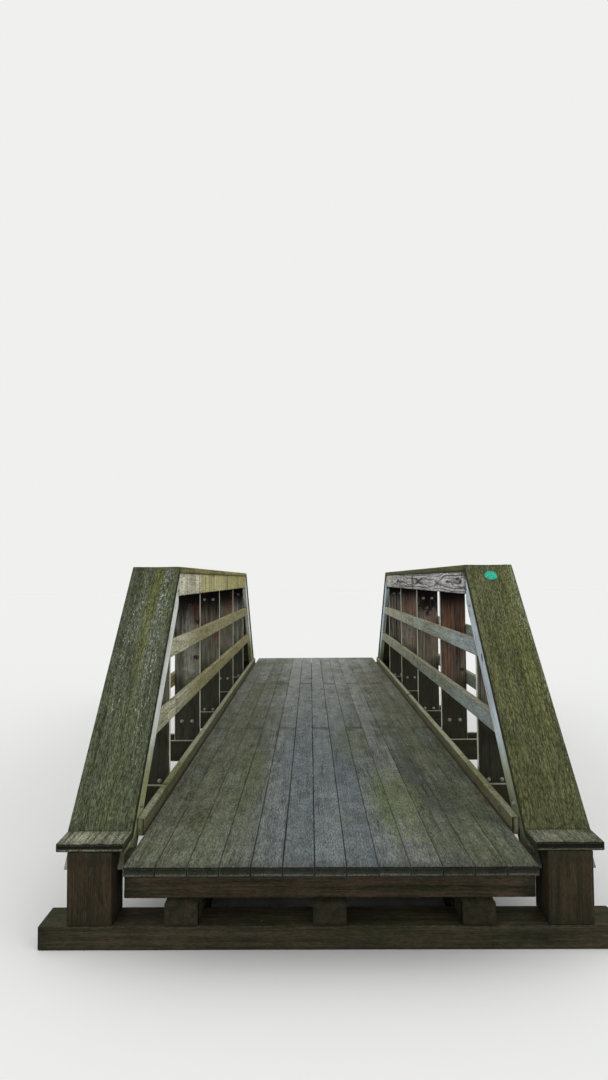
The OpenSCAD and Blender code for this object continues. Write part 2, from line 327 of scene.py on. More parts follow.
def columns(width, arris, step, splits, half):
    """Places across a flat face: even, close to each arris, and three close ones at every split."""
    flat, inset, clear = width / 2 - arris, 0.0025, 2.2 * half
    even = spread(-flat + inset, flat - inset, step)
    for split in splits:
        even = even[np.abs(even - split) > clear]
    notches = [split + half * np.array([-1, 0, 1.0]) for split in splits]
    return np.sort(np.concatenate([even, np.array([-flat, flat])] + notches))


def outline(width, thick, arris, cols, rows):
    """A board's section, walked round from the corner at (-width/2, 0): four flat sides joined by quarter
    rounds of radius arris, each with one point at 45 degrees. Gives u, v, the outward normal and the
    distance from the nearest arris."""
    pull = arris * (1 - HALF_ROOT)
    side, none, one = width / 2, np.zeros(len(cols)), np.ones(len(rows))
    from_side, from_face = side - np.abs(cols), np.minimum(rows, thick - rows)

    def walk(corners, below, right, above, left):
        """Values of the four corners and, between them, of the four sides."""
        first, second, third, fourth = corners
        return np.concatenate([[first], below, [second], right, [third], above, [fourth], left])

    near, far, h = pull - side, side - pull, HALF_ROOT
    u = walk((near, far, far, near), cols, side * one, cols[::-1], -side * one)
    v = walk((pull, pull, thick - pull, thick - pull), none, rows, none + thick, rows[::-1])
    nu = walk((-h, h, h, -h), none, one, none, -one)
    nv = walk((-h, -h, h, h), none - 1, 0 * one, none + 1, 0 * one)
    edge = walk((0, 0, 0, 0), from_side, from_face, from_side[::-1], from_face[::-1])
    return u, v, nu, nv, edge


def end_grid(n, m, loop, inner):
    """Numbers of the points that close one end: the last outline round a block of n by m inner points."""
    grid = np.zeros((m + 2, n + 2), int)
    grid[0, :] = loop[: n + 2]
    grid[1:-1, -1] = loop[n + 2: n + 2 + m]
    grid[-1, ::-1] = loop[n + 2 + m: 2 * n + 4 + m]
    grid[1:-1, 0] = loop[2 * n + 4 + m:][::-1]
    grid[1:-1, 1:-1] = inner.reshape(m, n)
    return grid


def grid_quads(grid, turned=False):
    """The faces of a grid of point numbers."""
    a, b, c, d = grid[:-1, :-1], grid[:-1, 1:], grid[1:, 1:], grid[1:, :-1]
    quads = np.stack([a, b, c, d] if not turned else [a, d, c, b], -1)
    return quads.reshape(-1, 4)


def worn(chance, along, round_the_loop, depth):
    """Shallow hollows along the grain: a sum of five sines across the board whose phase drifts slowly
    along it, scaled to lie between 0 and depth."""
    turn, swing, waves = 6.28, 1.8, 5
    total = np.zeros(np.broadcast(along, round_the_loop).shape)
    for wave in chance.uniform(0.024, 0.08, waves):
        phase, drift, slow = chance.uniform(0, turn, 3)
        drifting = swing * np.sin(along * (1 + slow) + drift)
        total = total + np.sin(turn * round_the_loop / wave + phase + drifting)
    return depth * (0.5 + 0.5 / waves * total)


def board(stack, at, along, through, width, thick, start, end, seed, finish=(0, 0, 0), pith=None,
          sink=0.0, splits=None, row_step=None, column_step=None, cup=0.0, checked=None, arris=None):
    """Carries a board's section along its length and closes both ends.
    at is the middle of the board's first face; s runs along, v through, u = through x along.
    start and end are (a, b, c): the end is cut where s = a + b u + c v. sink lowers the last face and cup
    hollows it. Checks are notches of triangular section whose depth and place vary along the board. They
    are given as splits (place across, 1 for the last face, where they begin and end, share of the full
    depth), or so many are drawn as checked says."""
    t = bpy.context.scene.footbridge_timber
    chance = np.random.default_rng(seed)
    row_step, column_step = row_step or t.row_step, column_step or t.column_step
    arris = (arris or t.arris) * chance.uniform(0.8, 1.4)
    half = t.check_width
    mean_long = end[0] - start[0]
    if splits is None:
        wanted = checked if checked is not None else chance.integers(0, 3)
        places = chance.uniform(-0.36, 0.36, wanted) * width
        splits = [(place, chance.integers(0, 2), *window(chance, mean_long)) for place in places]
        apart = 9 * half
        splits = [one for k, one in enumerate(splits)
                  if all(abs(one[0] - other[0]) > apart for other in splits[:k])]
    cols = columns(width, arris, column_step, [one[0] for one in splits], half)
    rows = spread(arris, thick - arris, THROUGH_STEP)
    u, v, nu, nv, edge = outline(width, thick, arris, cols, rows)
    n, m, size = len(cols), len(rows), len(u)
    round_the_loop = np.concatenate([[0], np.cumsum(np.hypot(np.diff(u), np.diff(v)))])
    # stations: a share of the way along, an extra step at each end, and the inset of the end rounds
    share = spread(0, 1, row_step / max(mean_long - 2 * arris, row_step))
    share = np.concatenate([[0, 0], share, [1, 1]])[:, None]
    between = np.zeros(len(share) - 4)
    extra = arris * np.concatenate([np.negative(ROUND_ALONG), between, ROUND_ALONG[::-1]])[:, None]
    inset = arris * np.concatenate([ROUND_IN, between, ROUND_IN[::-1]])[:, None]
    first = start[0] + start[1] * u + start[2] * v + arris
    last = end[0] + end[1] * u + end[2] * v - arris
    s = (1 - share) * first + share * last + extra
    depth = inset + worn(chance, s, round_the_loop, t.relief) * (edge > ON_ARRIS)
    depth = depth + np.where(edge < ON_ARRIS, arris * 0.5 * worn(chance, 3 * s, 7 * u + 11 * v, 1.0), 0)
    first_face, last_face = nv < -0.5, nv > 0.5
    hollow = cup * (0.5 - 0.5 * np.cos(2 * math.pi * (u / width + 0.5))) * (edge > ON_ARRIS)
    depth = depth + last_face * (sink + hollow)
    uu, vv = np.broadcast_to(u, s.shape).copy(), np.broadcast_to(v, s.shape).copy()
    for place, face, begin, finish_at, deep in splits:
        way = np.clip((s - start[0] - begin) / max(finish_at - begin, 1e-6), 0, 1)
        bite = deep * t.check_depth * np.sin(math.pi * way) ** 0.6
        near = np.abs(u - place)
        side = last_face if face else first_face
        depth = depth + side * bite * np.clip(1 - near / half, 0, 1)
        wander = CHECK_STRAY * np.sin(s * chance.uniform(3, 9) + chance.uniform(0, 6))
        uu = uu + side * wander * np.clip(1 - near / (4 * half), 0, 1)
    uu, vv = uu - nu * depth, vv - nv * depth
    # inner points of both ends: halfway values between opposite sides of the outline
    ends_u, ends_v, ends_s = [], [], []
    for row, rough in ((0, 1), (-1, -1)):
        bottom, top = slice(1, n + 1), slice(n + 3 + m, 2 * n + 3 + m)
        right, left = slice(n + 2, n + 2 + m), slice(2 * n + 4 + m, size)
        b = (rows / thick)[:, None]
        a = (cols / width + 0.5)[None, :]
        gu = (1 - b) * uu[row, bottom][None, :] + b * uu[row, top][::-1][None, :]
        gv = (1 - a) * vv[row, left][::-1][:, None] + a * vv[row, right][:, None]
        cut = start if row == 0 else end
        gs = cut[0] + cut[1] * gu + cut[2] * gv
        pits = rough * END_PITS * np.abs(np.sin(gu * 210 + seed) * np.sin(gv * 330 + 2 * seed))
        ends_u.append(gu.ravel())
        ends_v.append(gv.ravel())
        ends_s.append((gs + pits).ravel())
    all_u = np.concatenate([uu.ravel()] + ends_u)
    all_v = np.concatenate([vv.ravel()] + ends_v)
    all_s = np.concatenate([s.ravel()] + ends_s)
    loops = np.arange(s.size).reshape(s.shape)
    wrapped = np.concatenate([loops, loops[:, :1]], 1)
    begun = end_grid(n, m, loops[0], s.size + np.arange(n * m))
    ended = end_grid(n, m, loops[-1], s.size + n * m + np.arange(n * m))
    quads = np.concatenate([grid_quads(wrapped), grid_quads(begun, True), grid_quads(ended)])
    along, through = Vector(along).normalized(), Vector(through).normalized()
    wide = through.cross(along)
    points = (np.array(at)[None, :] + all_s[:, None] * np.array(along) + all_u[:, None] * np.array(wide)
              + all_v[:, None] * np.array(through))
    heart = pith or (chance.uniform(-0.25, 0.25) * width, thick + chance.uniform(0.02, 0.09))
    log = np.stack([all_u - heart[0], all_v - heart[1], all_s + chance.uniform(-20, 20)], 1)
    side_gap = np.minimum(width / 2 - np.abs(all_u), 1)
    face_gap = np.minimum(all_v, thick - all_v)
    from_end = np.minimum(all_s - (start[0] + start[1] * all_u + start[2] * all_v),
                          end[0] + end[1] * all_u + end[2] * all_v - all_s)
    two_least = np.sort(np.stack([side_gap, face_gap, from_end], 1), 1)[:, 1]
    wear = np.stack([np.clip(two_least, 0, 1), np.clip(from_end, 0, 10),
                     np.full(len(all_u), chance.random())], 1)
    stack.lay(points, quads, log, wear, finish)


def window(chance, long):
    """Where a drying check begins and ends along a board, and how deep it is, as a share of the deepest:
    at an end, or somewhere between."""
    if chance.random() < 0.55 or long < 0.4:
        reach = chance.uniform(0.1, 0.45) * min(long, 1.2)
        return (-reach, reach, 0.9) if chance.random() < 0.5 else (long - reach, long + reach, 0.9)
    begin = chance.uniform(0, 0.7) * long
    return begin, begin + chance.uniform(0.15, 0.5) * min(long, 2.0), chance.uniform(0.4, 0.9)


def rake_z(y, d):
    """Level of the line at depth d under the top face of the rake, at the distance y from the middle."""
    return CAP_HIGH.z - (y - CORNER_Y) * math.tan(RAKE) - d / math.cos(RAKE)


def rake_y(z, d):
    """Distance from the middle at which that line comes down to the level z."""
    return CORNER_Y + (CAP_HIGH.z - z - d / math.cos(RAKE)) / math.tan(RAKE)


def rake_frame(end):
    """Down the slope and square out of it, at the near (-1) or the far (1) end."""
    down = Vector((0, end * math.cos(RAKE), -math.sin(RAKE)))
    out = Vector((0, end * math.sin(RAKE), math.cos(RAKE)))
    return down, out


def face_x(side, inner):
    """Where a rail, fascia or strip lies across the bridge: its lower X."""
    low, high = (RAIL_LOW.x, RAIL_HIGH.x) if inner else (POST_HIGH.x, POST_HIGH.x + RAIL_HIGH.x - RAIL_LOW.x)
    return low if side > 0 else -high


def face_out(side, inner):
    """Which way a parapet's face looks, and where it lies across the bridge."""
    out = -side if inner else side
    return out, face_x(side, inner) + (RAIL_T if out > 0 else 0)


# Turned pieces

def turned(profile, sides, flats=0, first_flat=0, last_flat=0):
    """A closed surface of revolution, from a profile of radii and heights: the point at angle q of a ring
    is (r cos q, r sin q, h). From ring first_flat to ring last_flat r is divided by cos(q'), so that the
    ring has that many flats. The first and the last ring are single points."""
    radii, heights = np.array(profile, float).T
    q = np.arange(sides) * 2 * math.pi / sides
    r = radii[:, None] * np.ones(sides)
    if flats:
        part = 2 * math.pi / flats
        bend = 1 / np.cos((q + part / 2) % part - part / 2)
        r[first_flat: last_flat + 1] = r[first_flat: last_flat + 1] * bend
    h = heights[:, None] * np.ones(sides)
    rings = np.stack([r * np.cos(q), r * np.sin(q), h], -1)[1:-1]
    points = np.concatenate([[[0, 0, heights[0]]], rings.reshape(-1, 3), [[0, 0, heights[-1]]]])
    numbers = 1 + np.arange(len(radii[1:-1]) * sides).reshape(-1, sides)
    numbers = np.concatenate([numbers, numbers[:, :1]], 1)
    quads = grid_quads(numbers)
    low, high = np.zeros(sides, int), np.full(sides, len(points) - 1)
    base = np.stack([numbers[0, 1:], numbers[0, :-1], low, low], 1)
    lid = np.stack([numbers[-1, :-1], numbers[-1, 1:], high, high], 1)
    return points, np.concatenate([quads, base, lid])


def repeat(points, quads, places, axis, spins):
    """Copies one small shape to many places: its Z turned to axis, and a spin about it."""
    axis = np.array(axis, float)
    helper = np.array((1.0, 0, 0)) if abs(axis[0]) < 0.9 else np.array((0, 0, 1.0))
    x = np.cross(helper, axis)
    x = x / np.linalg.norm(x)
    y = np.cross(axis, x)
    cos, sin = np.cos(spins)[:, None, None], np.sin(spins)[:, None, None]
    px, py, pz = points[None, :, :1], points[None, :, 1:2], points[None, :, 2:]
    moved = (px * cos - py * sin) * x + (px * sin + py * cos) * y + pz * axis + np.array(places)[:, None, :]
    numbers = quads[None] + (np.arange(len(places)) * len(points))[:, None, None]
    return moved.reshape(-1, 3), numbers.reshape(-1, 4)


def scatter(shape, places, axis, chance):
    """One small shape at many places, each turned by chance."""
    return repeat(*shape, places, axis, chance.uniform(0, 6, len(places)))


def on_strips(x, places):
    """Where the fixings of a parapet face's two raking strips stand."""
    return [(x, end * y, z) for end in BOTH for y, z in places]


def join_shapes(name, made, look):
    """Several small turned shapes as one piece."""
    starts = np.cumsum([0] + [len(points) for points, _ in made])
    quads = np.concatenate([numbers + start for (_, numbers), start in zip(made, starts)])
    make_piece(name, np.concatenate([points for points, _ in made]), quads, finish(look))


# Finishes

class Tree:
    """A node tree under work, with short words for the nodes that the finishes use."""

    def __init__(self, tree):
        self.tree = tree

    def put(self, socket, value):
        """Links a socket, or sets a plain value."""
        if isinstance(value, bpy.types.NodeSocket):
            self.tree.links.new(value, socket)
        elif hasattr(value, "__len__") and len(value) == 3 and len(socket.default_value) == 4:
            socket.default_value = (*value, 1)
        elif value is not None:
            socket.default_value = value

    def node(self, kind, inputs=(), **settings):
        made = self.tree.nodes.new(kind)
        for key, value in settings.items():
            setattr(made, key, value)
        for key, value in dict(inputs).items():
            self.put(made.inputs[key], value)
        return made

    def calc(self, operation, *values, clamp=False):
        made = self.node("ShaderNodeMath", enumerate(values), operation=operation, use_clamp=clamp)
        return made.outputs[0]

    def sum(self, *values):
        total = values[0]
        for value in values[1:]:
            total = self.calc("ADD", total, value)
        return total

    def times(self, *values):
        total = values[0]
        for value in values[1:]:
            total = self.calc("MULTIPLY", total, value)
        return total

    def less(self, first, second):
        return self.calc("SUBTRACT", first, second)

    def most(self, first, second):
        return self.calc("MAXIMUM", first, second)

    def size(self, value):
        return self.calc("ABSOLUTE", value)

    def split(self, vector):
        return self.node("ShaderNodeSeparateXYZ", {0: vector}).outputs

    def join(self, x, y, z):
        return self.node("ShaderNodeCombineXYZ", {0: x, 1: y, 2: z}).outputs[0]

    def noise(self, vector, scale, detail=2.0, rough=0.5, distortion=0.0, output="Fac"):
        """Noise with so many lumps to the unit."""
        return self.node("ShaderNodeTexNoise", {
            "Vector": vector, "Scale": scale, "Detail": detail, "Roughness": rough, "Distortion": distortion,
        }).outputs[output]

    def drawn(self, place, across, along, detail=2.0, rough=0.5):
        """Noise drawn out along the grain: so many lumps to the metre across it and along it."""
        lu, lv, s = place
        drawn_out = self.join(self.times(lu, across), self.times(lv, across), self.times(s, along))
        return self.noise(drawn_out, 1.0, detail, rough)

    def stretched(self, place, scales):
        """Noise with so many lumps to the metre along each axis."""
        axes = [self.times(value, scale) for value, scale in zip(place, scales)]
        return self.noise(self.join(*axes), 1.0, 3.0, 0.65)

    def cells(self, vector, scale, output):
        return self.node("ShaderNodeTexVoronoi", {"Vector": vector, "Scale": scale},
                         voronoi_dimensions="2D").outputs[output]

    def fade(self, value, low, high, to_low=0.0, to_high=1.0):
        """Smooth step from to_low, where value is low, to to_high, where it is high."""
        return self.node("ShaderNodeMapRange", {
            "Value": value, "From Min": low, "From Max": high, "To Min": to_low, "To Max": to_high},
            interpolation_type="SMOOTHSTEP").outputs["Result"]

    def blend(self, share, first, second, kind="MIX"):
        return self.node("ShaderNodeMix", {0: share, 6: first, 7: second}, data_type="RGBA", blend_type=kind,
                         clamp_factor=True).outputs[2]

    def reading(self, name):
        """The three values that the boards carry under that name."""
        return self.node("ShaderNodeAttribute", attribute_name=name).outputs["Vector"]

    def roughen(self, shader, height, strength, distance):
        """Bumps of that height on the shader's surface."""
        bump = self.node("ShaderNodeBump", {"Height": height, "Strength": strength, "Distance": distance})
        self.put(shader.inputs["Normal"], bump.outputs[0])

    def unlit_share(self):
        """One where a ray shows the backdrop itself, nothing where it carries light."""
        path = self.node("ShaderNodeLightPath").outputs
        mirrored = self.most(path["Is Camera Ray"], path["Is Glossy Ray"])
        return self.most(mirrored, path["Is Transmission Ray"])

    def cover(self, under, mask, share, tint):
        """Lays a tint over what is under it, by a share of the mask."""
        return self.blend(self.times(mask, share), under, tint)

    def use(self, name, **inputs):
        """Places a shared group and gives back its outputs."""
        node = self.node("ShaderNodeGroup", node_tree=bpy.data.node_groups[name])
        for key, value in inputs.items():
            self.put(node.inputs[key], value)
        return node.outputs


def shader_group(name, places, values, outputs):
    """An empty shared node group, its tree ready to be filled, and the sockets of its input and output
    nodes. It takes places, then plain values with their defaults."""
    tree = bpy.data.node_groups.new(name, "ShaderNodeTree")
    for label in places:
        tree.interface.new_socket(label, in_out="INPUT", socket_type="NodeSocketVector")
    for label, value in values.items():
        tree.interface.new_socket(label, in_out="INPUT", socket_type="NodeSocketFloat").default_value = value
    for label in outputs:
        tree.interface.new_socket(label, in_out="OUTPUT", socket_type="NodeSocketFloat")
    return Tree(tree), tree.nodes.new("NodeGroupInput").outputs, tree.nodes.new("NodeGroupOutput").inputs


def log_grain_group():
    """Growth rings cut by the board. The distance from a wandering pith, bent round knots, is counted in
    rings; each ring ends in a dark late line. Fibres, threads, streaks and fine shakes run along the log."""
    t, given, out = shader_group(
        "Log Grain", ["Log"], {"Seed": 0, "Ring": 0.006, "Wander": 0.03},
        ["Late", "Fibre", "Thread", "Streak", "Shake", "Knot", "Relief"])
    lu, lv, s = t.split(given["Log"])[:3]
    away = t.times(given["Seed"], 91.0)
    drift = t.split(t.noise(t.join(away, t.times(given["Seed"], 47.0), s), 0.9, 2.0, output="Color"))
    pu = t.sum(lu, t.times(t.less(drift[0], 0.5), given["Wander"]))
    pv = t.sum(lv, t.times(t.less(drift[1], 0.5), given["Wander"]))
    wavy = t.noise(t.join(t.sum(t.times(lu, 7.0), away), t.times(lv, 7.0), t.times(s, 2.6)), 1.0, 2.0)
    knot_place = t.join(t.sum(t.times(lu, 3.4), away), t.times(s, 1.6), 0.0)
    knot_far = t.cells(knot_place, 1.0, "Distance")
    kept = t.fade(t.split(t.cells(knot_place, 1.0, "Color"))[0], 0.66, 0.68)
    near_knot = t.times(kept, t.fade(knot_far, 0.22, 0.0))
    far = t.calc("SQRT", t.sum(t.times(pu, pu), t.times(pv, pv)))
    bent = t.sum(far, t.times(t.less(wavy, 0.5), 0.016), t.times(near_knot, 0.02))
    rings = t.calc("DIVIDE", bent, given["Ring"])
    part = t.calc("FRACT", rings)
    strength = t.node("ShaderNodeTexWhiteNoise", {"W": t.sum(t.calc("FLOOR", rings), away)},
                      noise_dimensions="1D").outputs["Value"]
    late = t.times(t.fade(part, 0.45, 0.9), t.fade(part, 1.0, 0.94), t.sum(0.35, t.times(strength, 0.65)))
    shifted = (t.sum(lu, t.times(given["Seed"], 3.0)), lv, s)
    fibre = t.drawn(shifted, 620.0, 9.0, 3.0, 0.6)
    thread = t.drawn(shifted, 160.0, 6.0, 3.0, 0.65)
    streak = t.drawn(shifted, 42.0, 1.1, 3.0, 0.55)
    crack = t.drawn(shifted, 105.0, 1.5, 2.0, 0.5)
    open_here = t.fade(t.drawn(shifted, 14.0, 1.8, 1.0), 0.5, 0.62)
    shake = t.times(t.fade(t.size(t.less(crack, 0.5)), 0.022, 0.004), open_here)
    knot = t.times(kept, t.fade(knot_far, 0.062, 0.035))
    for name, value in (("Late", late), ("Fibre", fibre), ("Thread", thread), ("Streak", streak),
                        ("Shake", shake), ("Knot", knot)):
        t.put(out[name], value)
    t.put(out["Relief"], t.sum(t.times(late, 0.4), t.times(fibre, 0.35), t.times(thread, 0.6),
                               t.times(shake, -1.4), t.times(knot, 0.4)))


def growth_group():
    """Green film and moss: hills of noise at four sizes, the smaller ones drawn out along the grain, raised
    where the face looks up, cut off at a level that the amount lowers. The film's tone is a fine streaky
    noise of its own."""
    t, given, out = shader_group(
        "Green Growth", ["Place", "Log"], {"Up": 0, "Amount": 0.5}, ["Film", "Moss", "Tone", "Height"])
    log = t.split(given["Log"])[:3]
    broad = t.noise(given["Place"], 1.9, 2.0, 0.5, 0.4)
    patch = t.drawn(log, 16.0, 3.5, 3.0, 0.6)
    grit = t.drawn(log, 190.0, 30.0, 3.0, 0.65)
    coarse = t.drawn(log, 80.0, 7.0, 3.0, 0.6)
    fine = t.noise(given["Place"], 380.0, 2.0, 0.6)
    hills = t.sum(t.times(broad, 0.42), t.times(patch, 0.32), t.times(grit, 0.26))
    level = t.sum(hills, t.times(given["Amount"], 0.7), t.times(t.most(given["Up"], 0.0), 0.08))
    t.put(out["Film"], t.fade(t.sum(level, t.times(fine, 0.1)), 0.72, 1.0))
    moss = t.sum(t.times(patch, 0.6), t.times(grit, 0.4), t.times(given["Amount"], 0.3))
    t.put(out["Moss"], t.fade(moss, 0.66, 0.84))
    tone = t.sum(t.times(grit, 0.5), t.times(coarse, 0.3), t.times(fine, 0.2))
    t.put(out["Tone"], t.fade(tone, 0.41, 0.59))
    t.put(out["Height"], t.sum(t.times(grit, 0.6), t.times(fine, 0.6)))


def lichen_group():
    """Flecks of lichen: the tops of two fine noises drawn out along the grain, cut off at a level that the
    amount and long drifts lower."""
    t, given, out = shader_group("Lichen Flecks", ["Log"], {"Amount": 0.3}, ["Flecks"])
    log = t.split(given["Log"])[:3]
    drift = t.less(t.drawn(log, 11.0, 2.2, 3.0, 0.6), 0.5)
    least = t.less(0.72, t.sum(t.times(given["Amount"], 0.15), t.times(drift, 0.2)))
    small = t.drawn(log, 210.0, 80.0, 3.0, 0.65)
    large = t.less(t.drawn(log, 140.0, 60.0, 2.0, 0.6), 0.015)
    small_tops = t.fade(small, least, t.sum(least, 0.05))
    large_tops = t.fade(large, least, t.sum(least, 0.06))
    t.put(out["Flecks"], t.most(small_tops, large_tops))


def runs_group():
    """Stains that water draws: noise stretched down the face, stronger near the top."""
    t, given, out = shader_group("Rain Runs", ["Place"], {"Top": 1.5, "Reach": 0.5}, ["Runs"])
    place = t.split(given["Place"])[:3]
    wide = t.stretched(place, (12.0, 6.0, 0.9))
    thin = t.stretched(place, (50.0, 21.0, 1.4))
    high = t.fade(place[2], t.less(given["Top"], given["Reach"]), given["Top"], 0.35, 1.0)
    t.put(out["Runs"], t.times(t.fade(t.sum(t.times(wide, 0.55), t.times(thin, 0.45)), 0.46, 0.6), high))


def arris_group():
    """Edges: a worn pale line within a few millimetres of an arris, broken up by noise, and dirt that
    gathers a little further in and at the board's ends."""
    t, given, out = shader_group(
        "Arris and Ends", ["Place"], {"Edge": 1, "End": 1, "Reach": 0.02}, ["Worn", "Dirt", "Wick"])
    broken = t.noise(given["Place"], 38.0, 3.0, 0.6)
    line = t.fade(given["Edge"], t.sum(0.002, t.times(broken, 0.008)), 0.0005)
    t.put(out["Worn"], t.times(line, t.fade(broken, 0.35, 0.6)))
    reach = t.sum(0.0012, t.times(broken, given["Reach"]))
    gathered = t.fade(given["Edge"], reach, t.times(reach, 0.2))
    t.put(out["Dirt"], t.times(gathered, t.fade(broken, 0.68, 0.42)))
    t.put(out["Wick"], t.fade(t.sum(given["End"], t.times(broken, -0.09)), 0.05, -0.035))


def share_groups():
    """Builds every shared group once."""
    if "Log Grain" in bpy.data.node_groups:
        return
    for build in (log_grain_group, growth_group, lichen_group, runs_group, arris_group):
        build()


class BoardTree(Tree):
    """The tree of one weathered board, with its readings and its swinging masks."""

    def __init__(self, tree):
        super().__init__(tree)
        self.log = self.reading("log")
        self.edge, self.end, self.seed = self.split(self.reading("wear"))[:3]
        self.look = self.split(self.reading("finish"))[:3]
        self.place = self.node("ShaderNodeTexCoord").outputs["Object"]
        self.axes = dict(zip("xyz", self.split(self.place)[:3]))
        normal = self.split(self.node("ShaderNodeNewGeometry").outputs["Normal"])
        self.axes.update({"up": normal[2], "|x|": self.size(self.axes["x"]), "|nx|": self.size(normal[0]),
                          "|ny|": self.size(normal[1])})
        self.cloud = self.less(self.noise(self.place, 3.2, 4.0, 0.6), 0.5)
        self.ragged = self.less(self.noise(self.place, 26.0, 3.0, 0.6), 0.5)

    def band(self, axis, middle, half, low):
        """A stripe along the board, its edges drifting and frayed, that dies out below the height low."""
        drift = self.less(self.noise(self.join(middle, self.axes["y"], 0.0), 1.3, 2.0), 0.5)
        frayed = self.less(self.drawn(self.split(self.log)[:3], 90.0, 5.0, 2.0), 0.5)
        swung = self.sum(self.axes[axis], self.times(drift, 1.4 * half),
                         self.times(frayed, 1.8 * half), -middle)
        high = self.fade(self.sum(self.axes["z"], self.times(self.cloud, 0.5)), low, low + 0.25)
        return self.times(self.fade(self.size(swung), half, 0.35 * half), high)

    def spot(self, axes, middle, half):
        """A frayed patch round a place on two axes."""
        squares = []
        for axis, centre, reach in zip(axes, middle, half):
            off = self.times(self.less(self.axes[axis], centre), 1 / reach)
            squares.append(self.times(off, off))
        far = self.calc("SQRT", self.sum(*squares))
        return self.fade(self.sum(far, self.times(self.ragged, 2.6)), 1.0, 0.45)


def new_material(name, kind=Tree):
    """A new material, its tree ready to be filled, and its Principled shader."""
    material = bpy.data.materials.new(name)
    material.use_nodes = True
    return material, kind(material.node_tree), material.node_tree.nodes["Principled BSDF"]


def board_finish(name, pale, dark, film_tones=None, ring=0.006, wander=0.03, grain=0.25, contrast=1.0,
                 growth=0.0, film=0.5, moss=0.35, flecks=0.0, fleck=None, runs=0.0, stain=None, worn=0.5,
                 dirt=0.4, dirt_reach=0.02, grit=0.3, sides=0.0, facing=(), washes=(), bands=(),
                 fleck_bands=(), spots=(), knots=0.85, grain_of_grit=(210.0, 50.0), mottle=0.07):
    """Weathered board. The wood goes from dark to pale by fibre, thread, streak and late rings; brown,
    bleaching and green come per board from its finish reading. Then, one over the other:
    washes that come on smoothly along an axis: (axis, from, to, colour, share), some of them painted
    shade or sheen;
    stains that the rain draws down;
    growth with its bands: (axis, middle, half width, height at which it dies out, colour, share);
    spots: (axes, middle, half sizes, colour, share), some of them painted shade;
    flecks of lichen with their bands, which have no colour;
    facing, what faces a way: as a wash, with a component of the normal, which some finishes use for
    painted shade or highlight on the faces that look that way;
    worn edges, dirty ends, shakes, blotches a hand wide and grit, in lumps to the metre across and along."""
    f = bpy.context.scene.footbridge_finish
    material, t, shader = new_material(name, BoardTree)
    brown, bleach, green = t.look
    wood = t.use("Log Grain", Log=t.log, Seed=t.seed, Ring=ring, Wander=wander)
    grow = t.sum(growth, t.times(green, 0.5))
    if sides:
        grow = t.sum(grow, t.times(t.fade(t.axes["|x|"], 0.1, 0.72), sides))
    life = t.use("Green Growth", Place=t.place, Log=t.log, Up=t.axes["up"], Amount=grow)
    edges = t.use("Arris and Ends", Place=t.place, Edge=t.edge, End=t.end, Reach=dirt_reach)
    # bare wood
    streak, fibre, thread = (t.less(wood[key], 0.5) for key in ("Streak", "Fibre", "Thread"))
    tone = t.sum(t.times(streak, 2.0 * contrast), t.times(fibre, 0.8 * contrast),
                 t.times(thread, 1.9 * contrast), t.times(wood["Late"], -grain), t.times(bleach, 0.6),
                 t.times(t.cloud, 0.8 * contrast), 0.55 + 0.3 * grain, t.times(t.less(t.seed, 0.5), 0.3))
    tone = t.calc("MULTIPLY", tone, 1.0, clamp=True)
    brown_here = t.times(brown, t.fade(t.sum(wood["Streak"], t.times(t.cloud, 0.9)), 0.3, 0.6, 0.3, 1.0))
    now = t.blend(brown_here, t.blend(tone, dark, pale), t.blend(tone, f.post_dark, f.post_brown))
    now = t.cover(now, wood["Knot"], knots, f.knot)
    # washes and rain
    for axis, low, high, wash, share in washes:
        swing = t.times(t.sum(t.cloud, t.times(streak, 0.6)), 0.55 * abs(high - low))
        now = t.cover(now, t.fade(t.sum(t.axes[axis], swing), low, high), share, wash)
    if runs:
        water = t.use("Rain Runs", Place=t.place, Top=CAP_LOW.z, Reach=0.45)
        now = t.cover(now, water["Runs"], runs, stain or f.moss)
    # growth, spots and lichen
    film_dark, film_light = film_tones or (f.moss, f.algae)
    film_tone = t.sum(t.times(life["Tone"], 0.75), t.times(thread, 0.7), t.times(streak, 0.8), 0.12)
    green_now = t.blend(film_tone, film_dark, film_light)
    for axis, middle, half, low, tint, share in bands:
        tinted = t.blend(film_tone, shade(tint, 0.36), tint)
        green_now = t.cover(green_now, t.band(axis, middle, half, low), share, tinted)
    now = t.cover(now, life["Film"], film, green_now)
    now = t.cover(now, life["Moss"], moss, f.moss)
    for axes, middle, half, tint, share in spots:
        now = t.cover(now, t.spot(axes, middle, half), t.sum(share, t.times(thread, 1.5)), tint)
    if flecks:
        many = flecks
        for axis, middle, half, low, share in fleck_bands:
            many = t.sum(many, t.times(t.band(axis, middle, half, low), share))
        many = t.less(many, t.times(t.fade(t.axes["up"], 0.5, 0.2), 0.5))
        lichen = t.use("Lichen Flecks", Log=t.log, Amount=many)["Flecks"]
        now = t.cover(now, lichen, 0.8, fleck or f.lichen)
    # edges, ends, faces and shakes
    now = t.cover(now, edges["Worn"], worn, pale)
    now = t.cover(now, edges["Dirt"], dirt, f.damp_and_shade)
    now = t.cover(now, edges["Wick"], dirt, dark)
    for axis, low, high, tint, share in facing:
        now = t.cover(now, t.fade(t.axes[axis], low, high), t.sum(share, t.times(streak, 0.5)), tint)
    now = t.cover(now, wood["Shake"], 0.8, f.damp_and_shade)
    # grit: light and dark specks over everything
    specks = t.drawn(t.split(t.log)[:3], *grain_of_grit, 4.0, 0.7)
    level = t.sum(1.0 - grit, t.times(t.fade(specks, 0.36, 0.64), 2 * grit))
    blotches = t.stretched(t.split(t.place)[:3], (17.0, 7.0, 9.0))
    level = t.times(level, t.sum(1.0 - mottle, t.times(t.fade(blotches, 0.36, 0.64), 2 * mottle)))
    now = t.blend(1.0, now, t.join(level, level, level), "MULTIPLY")
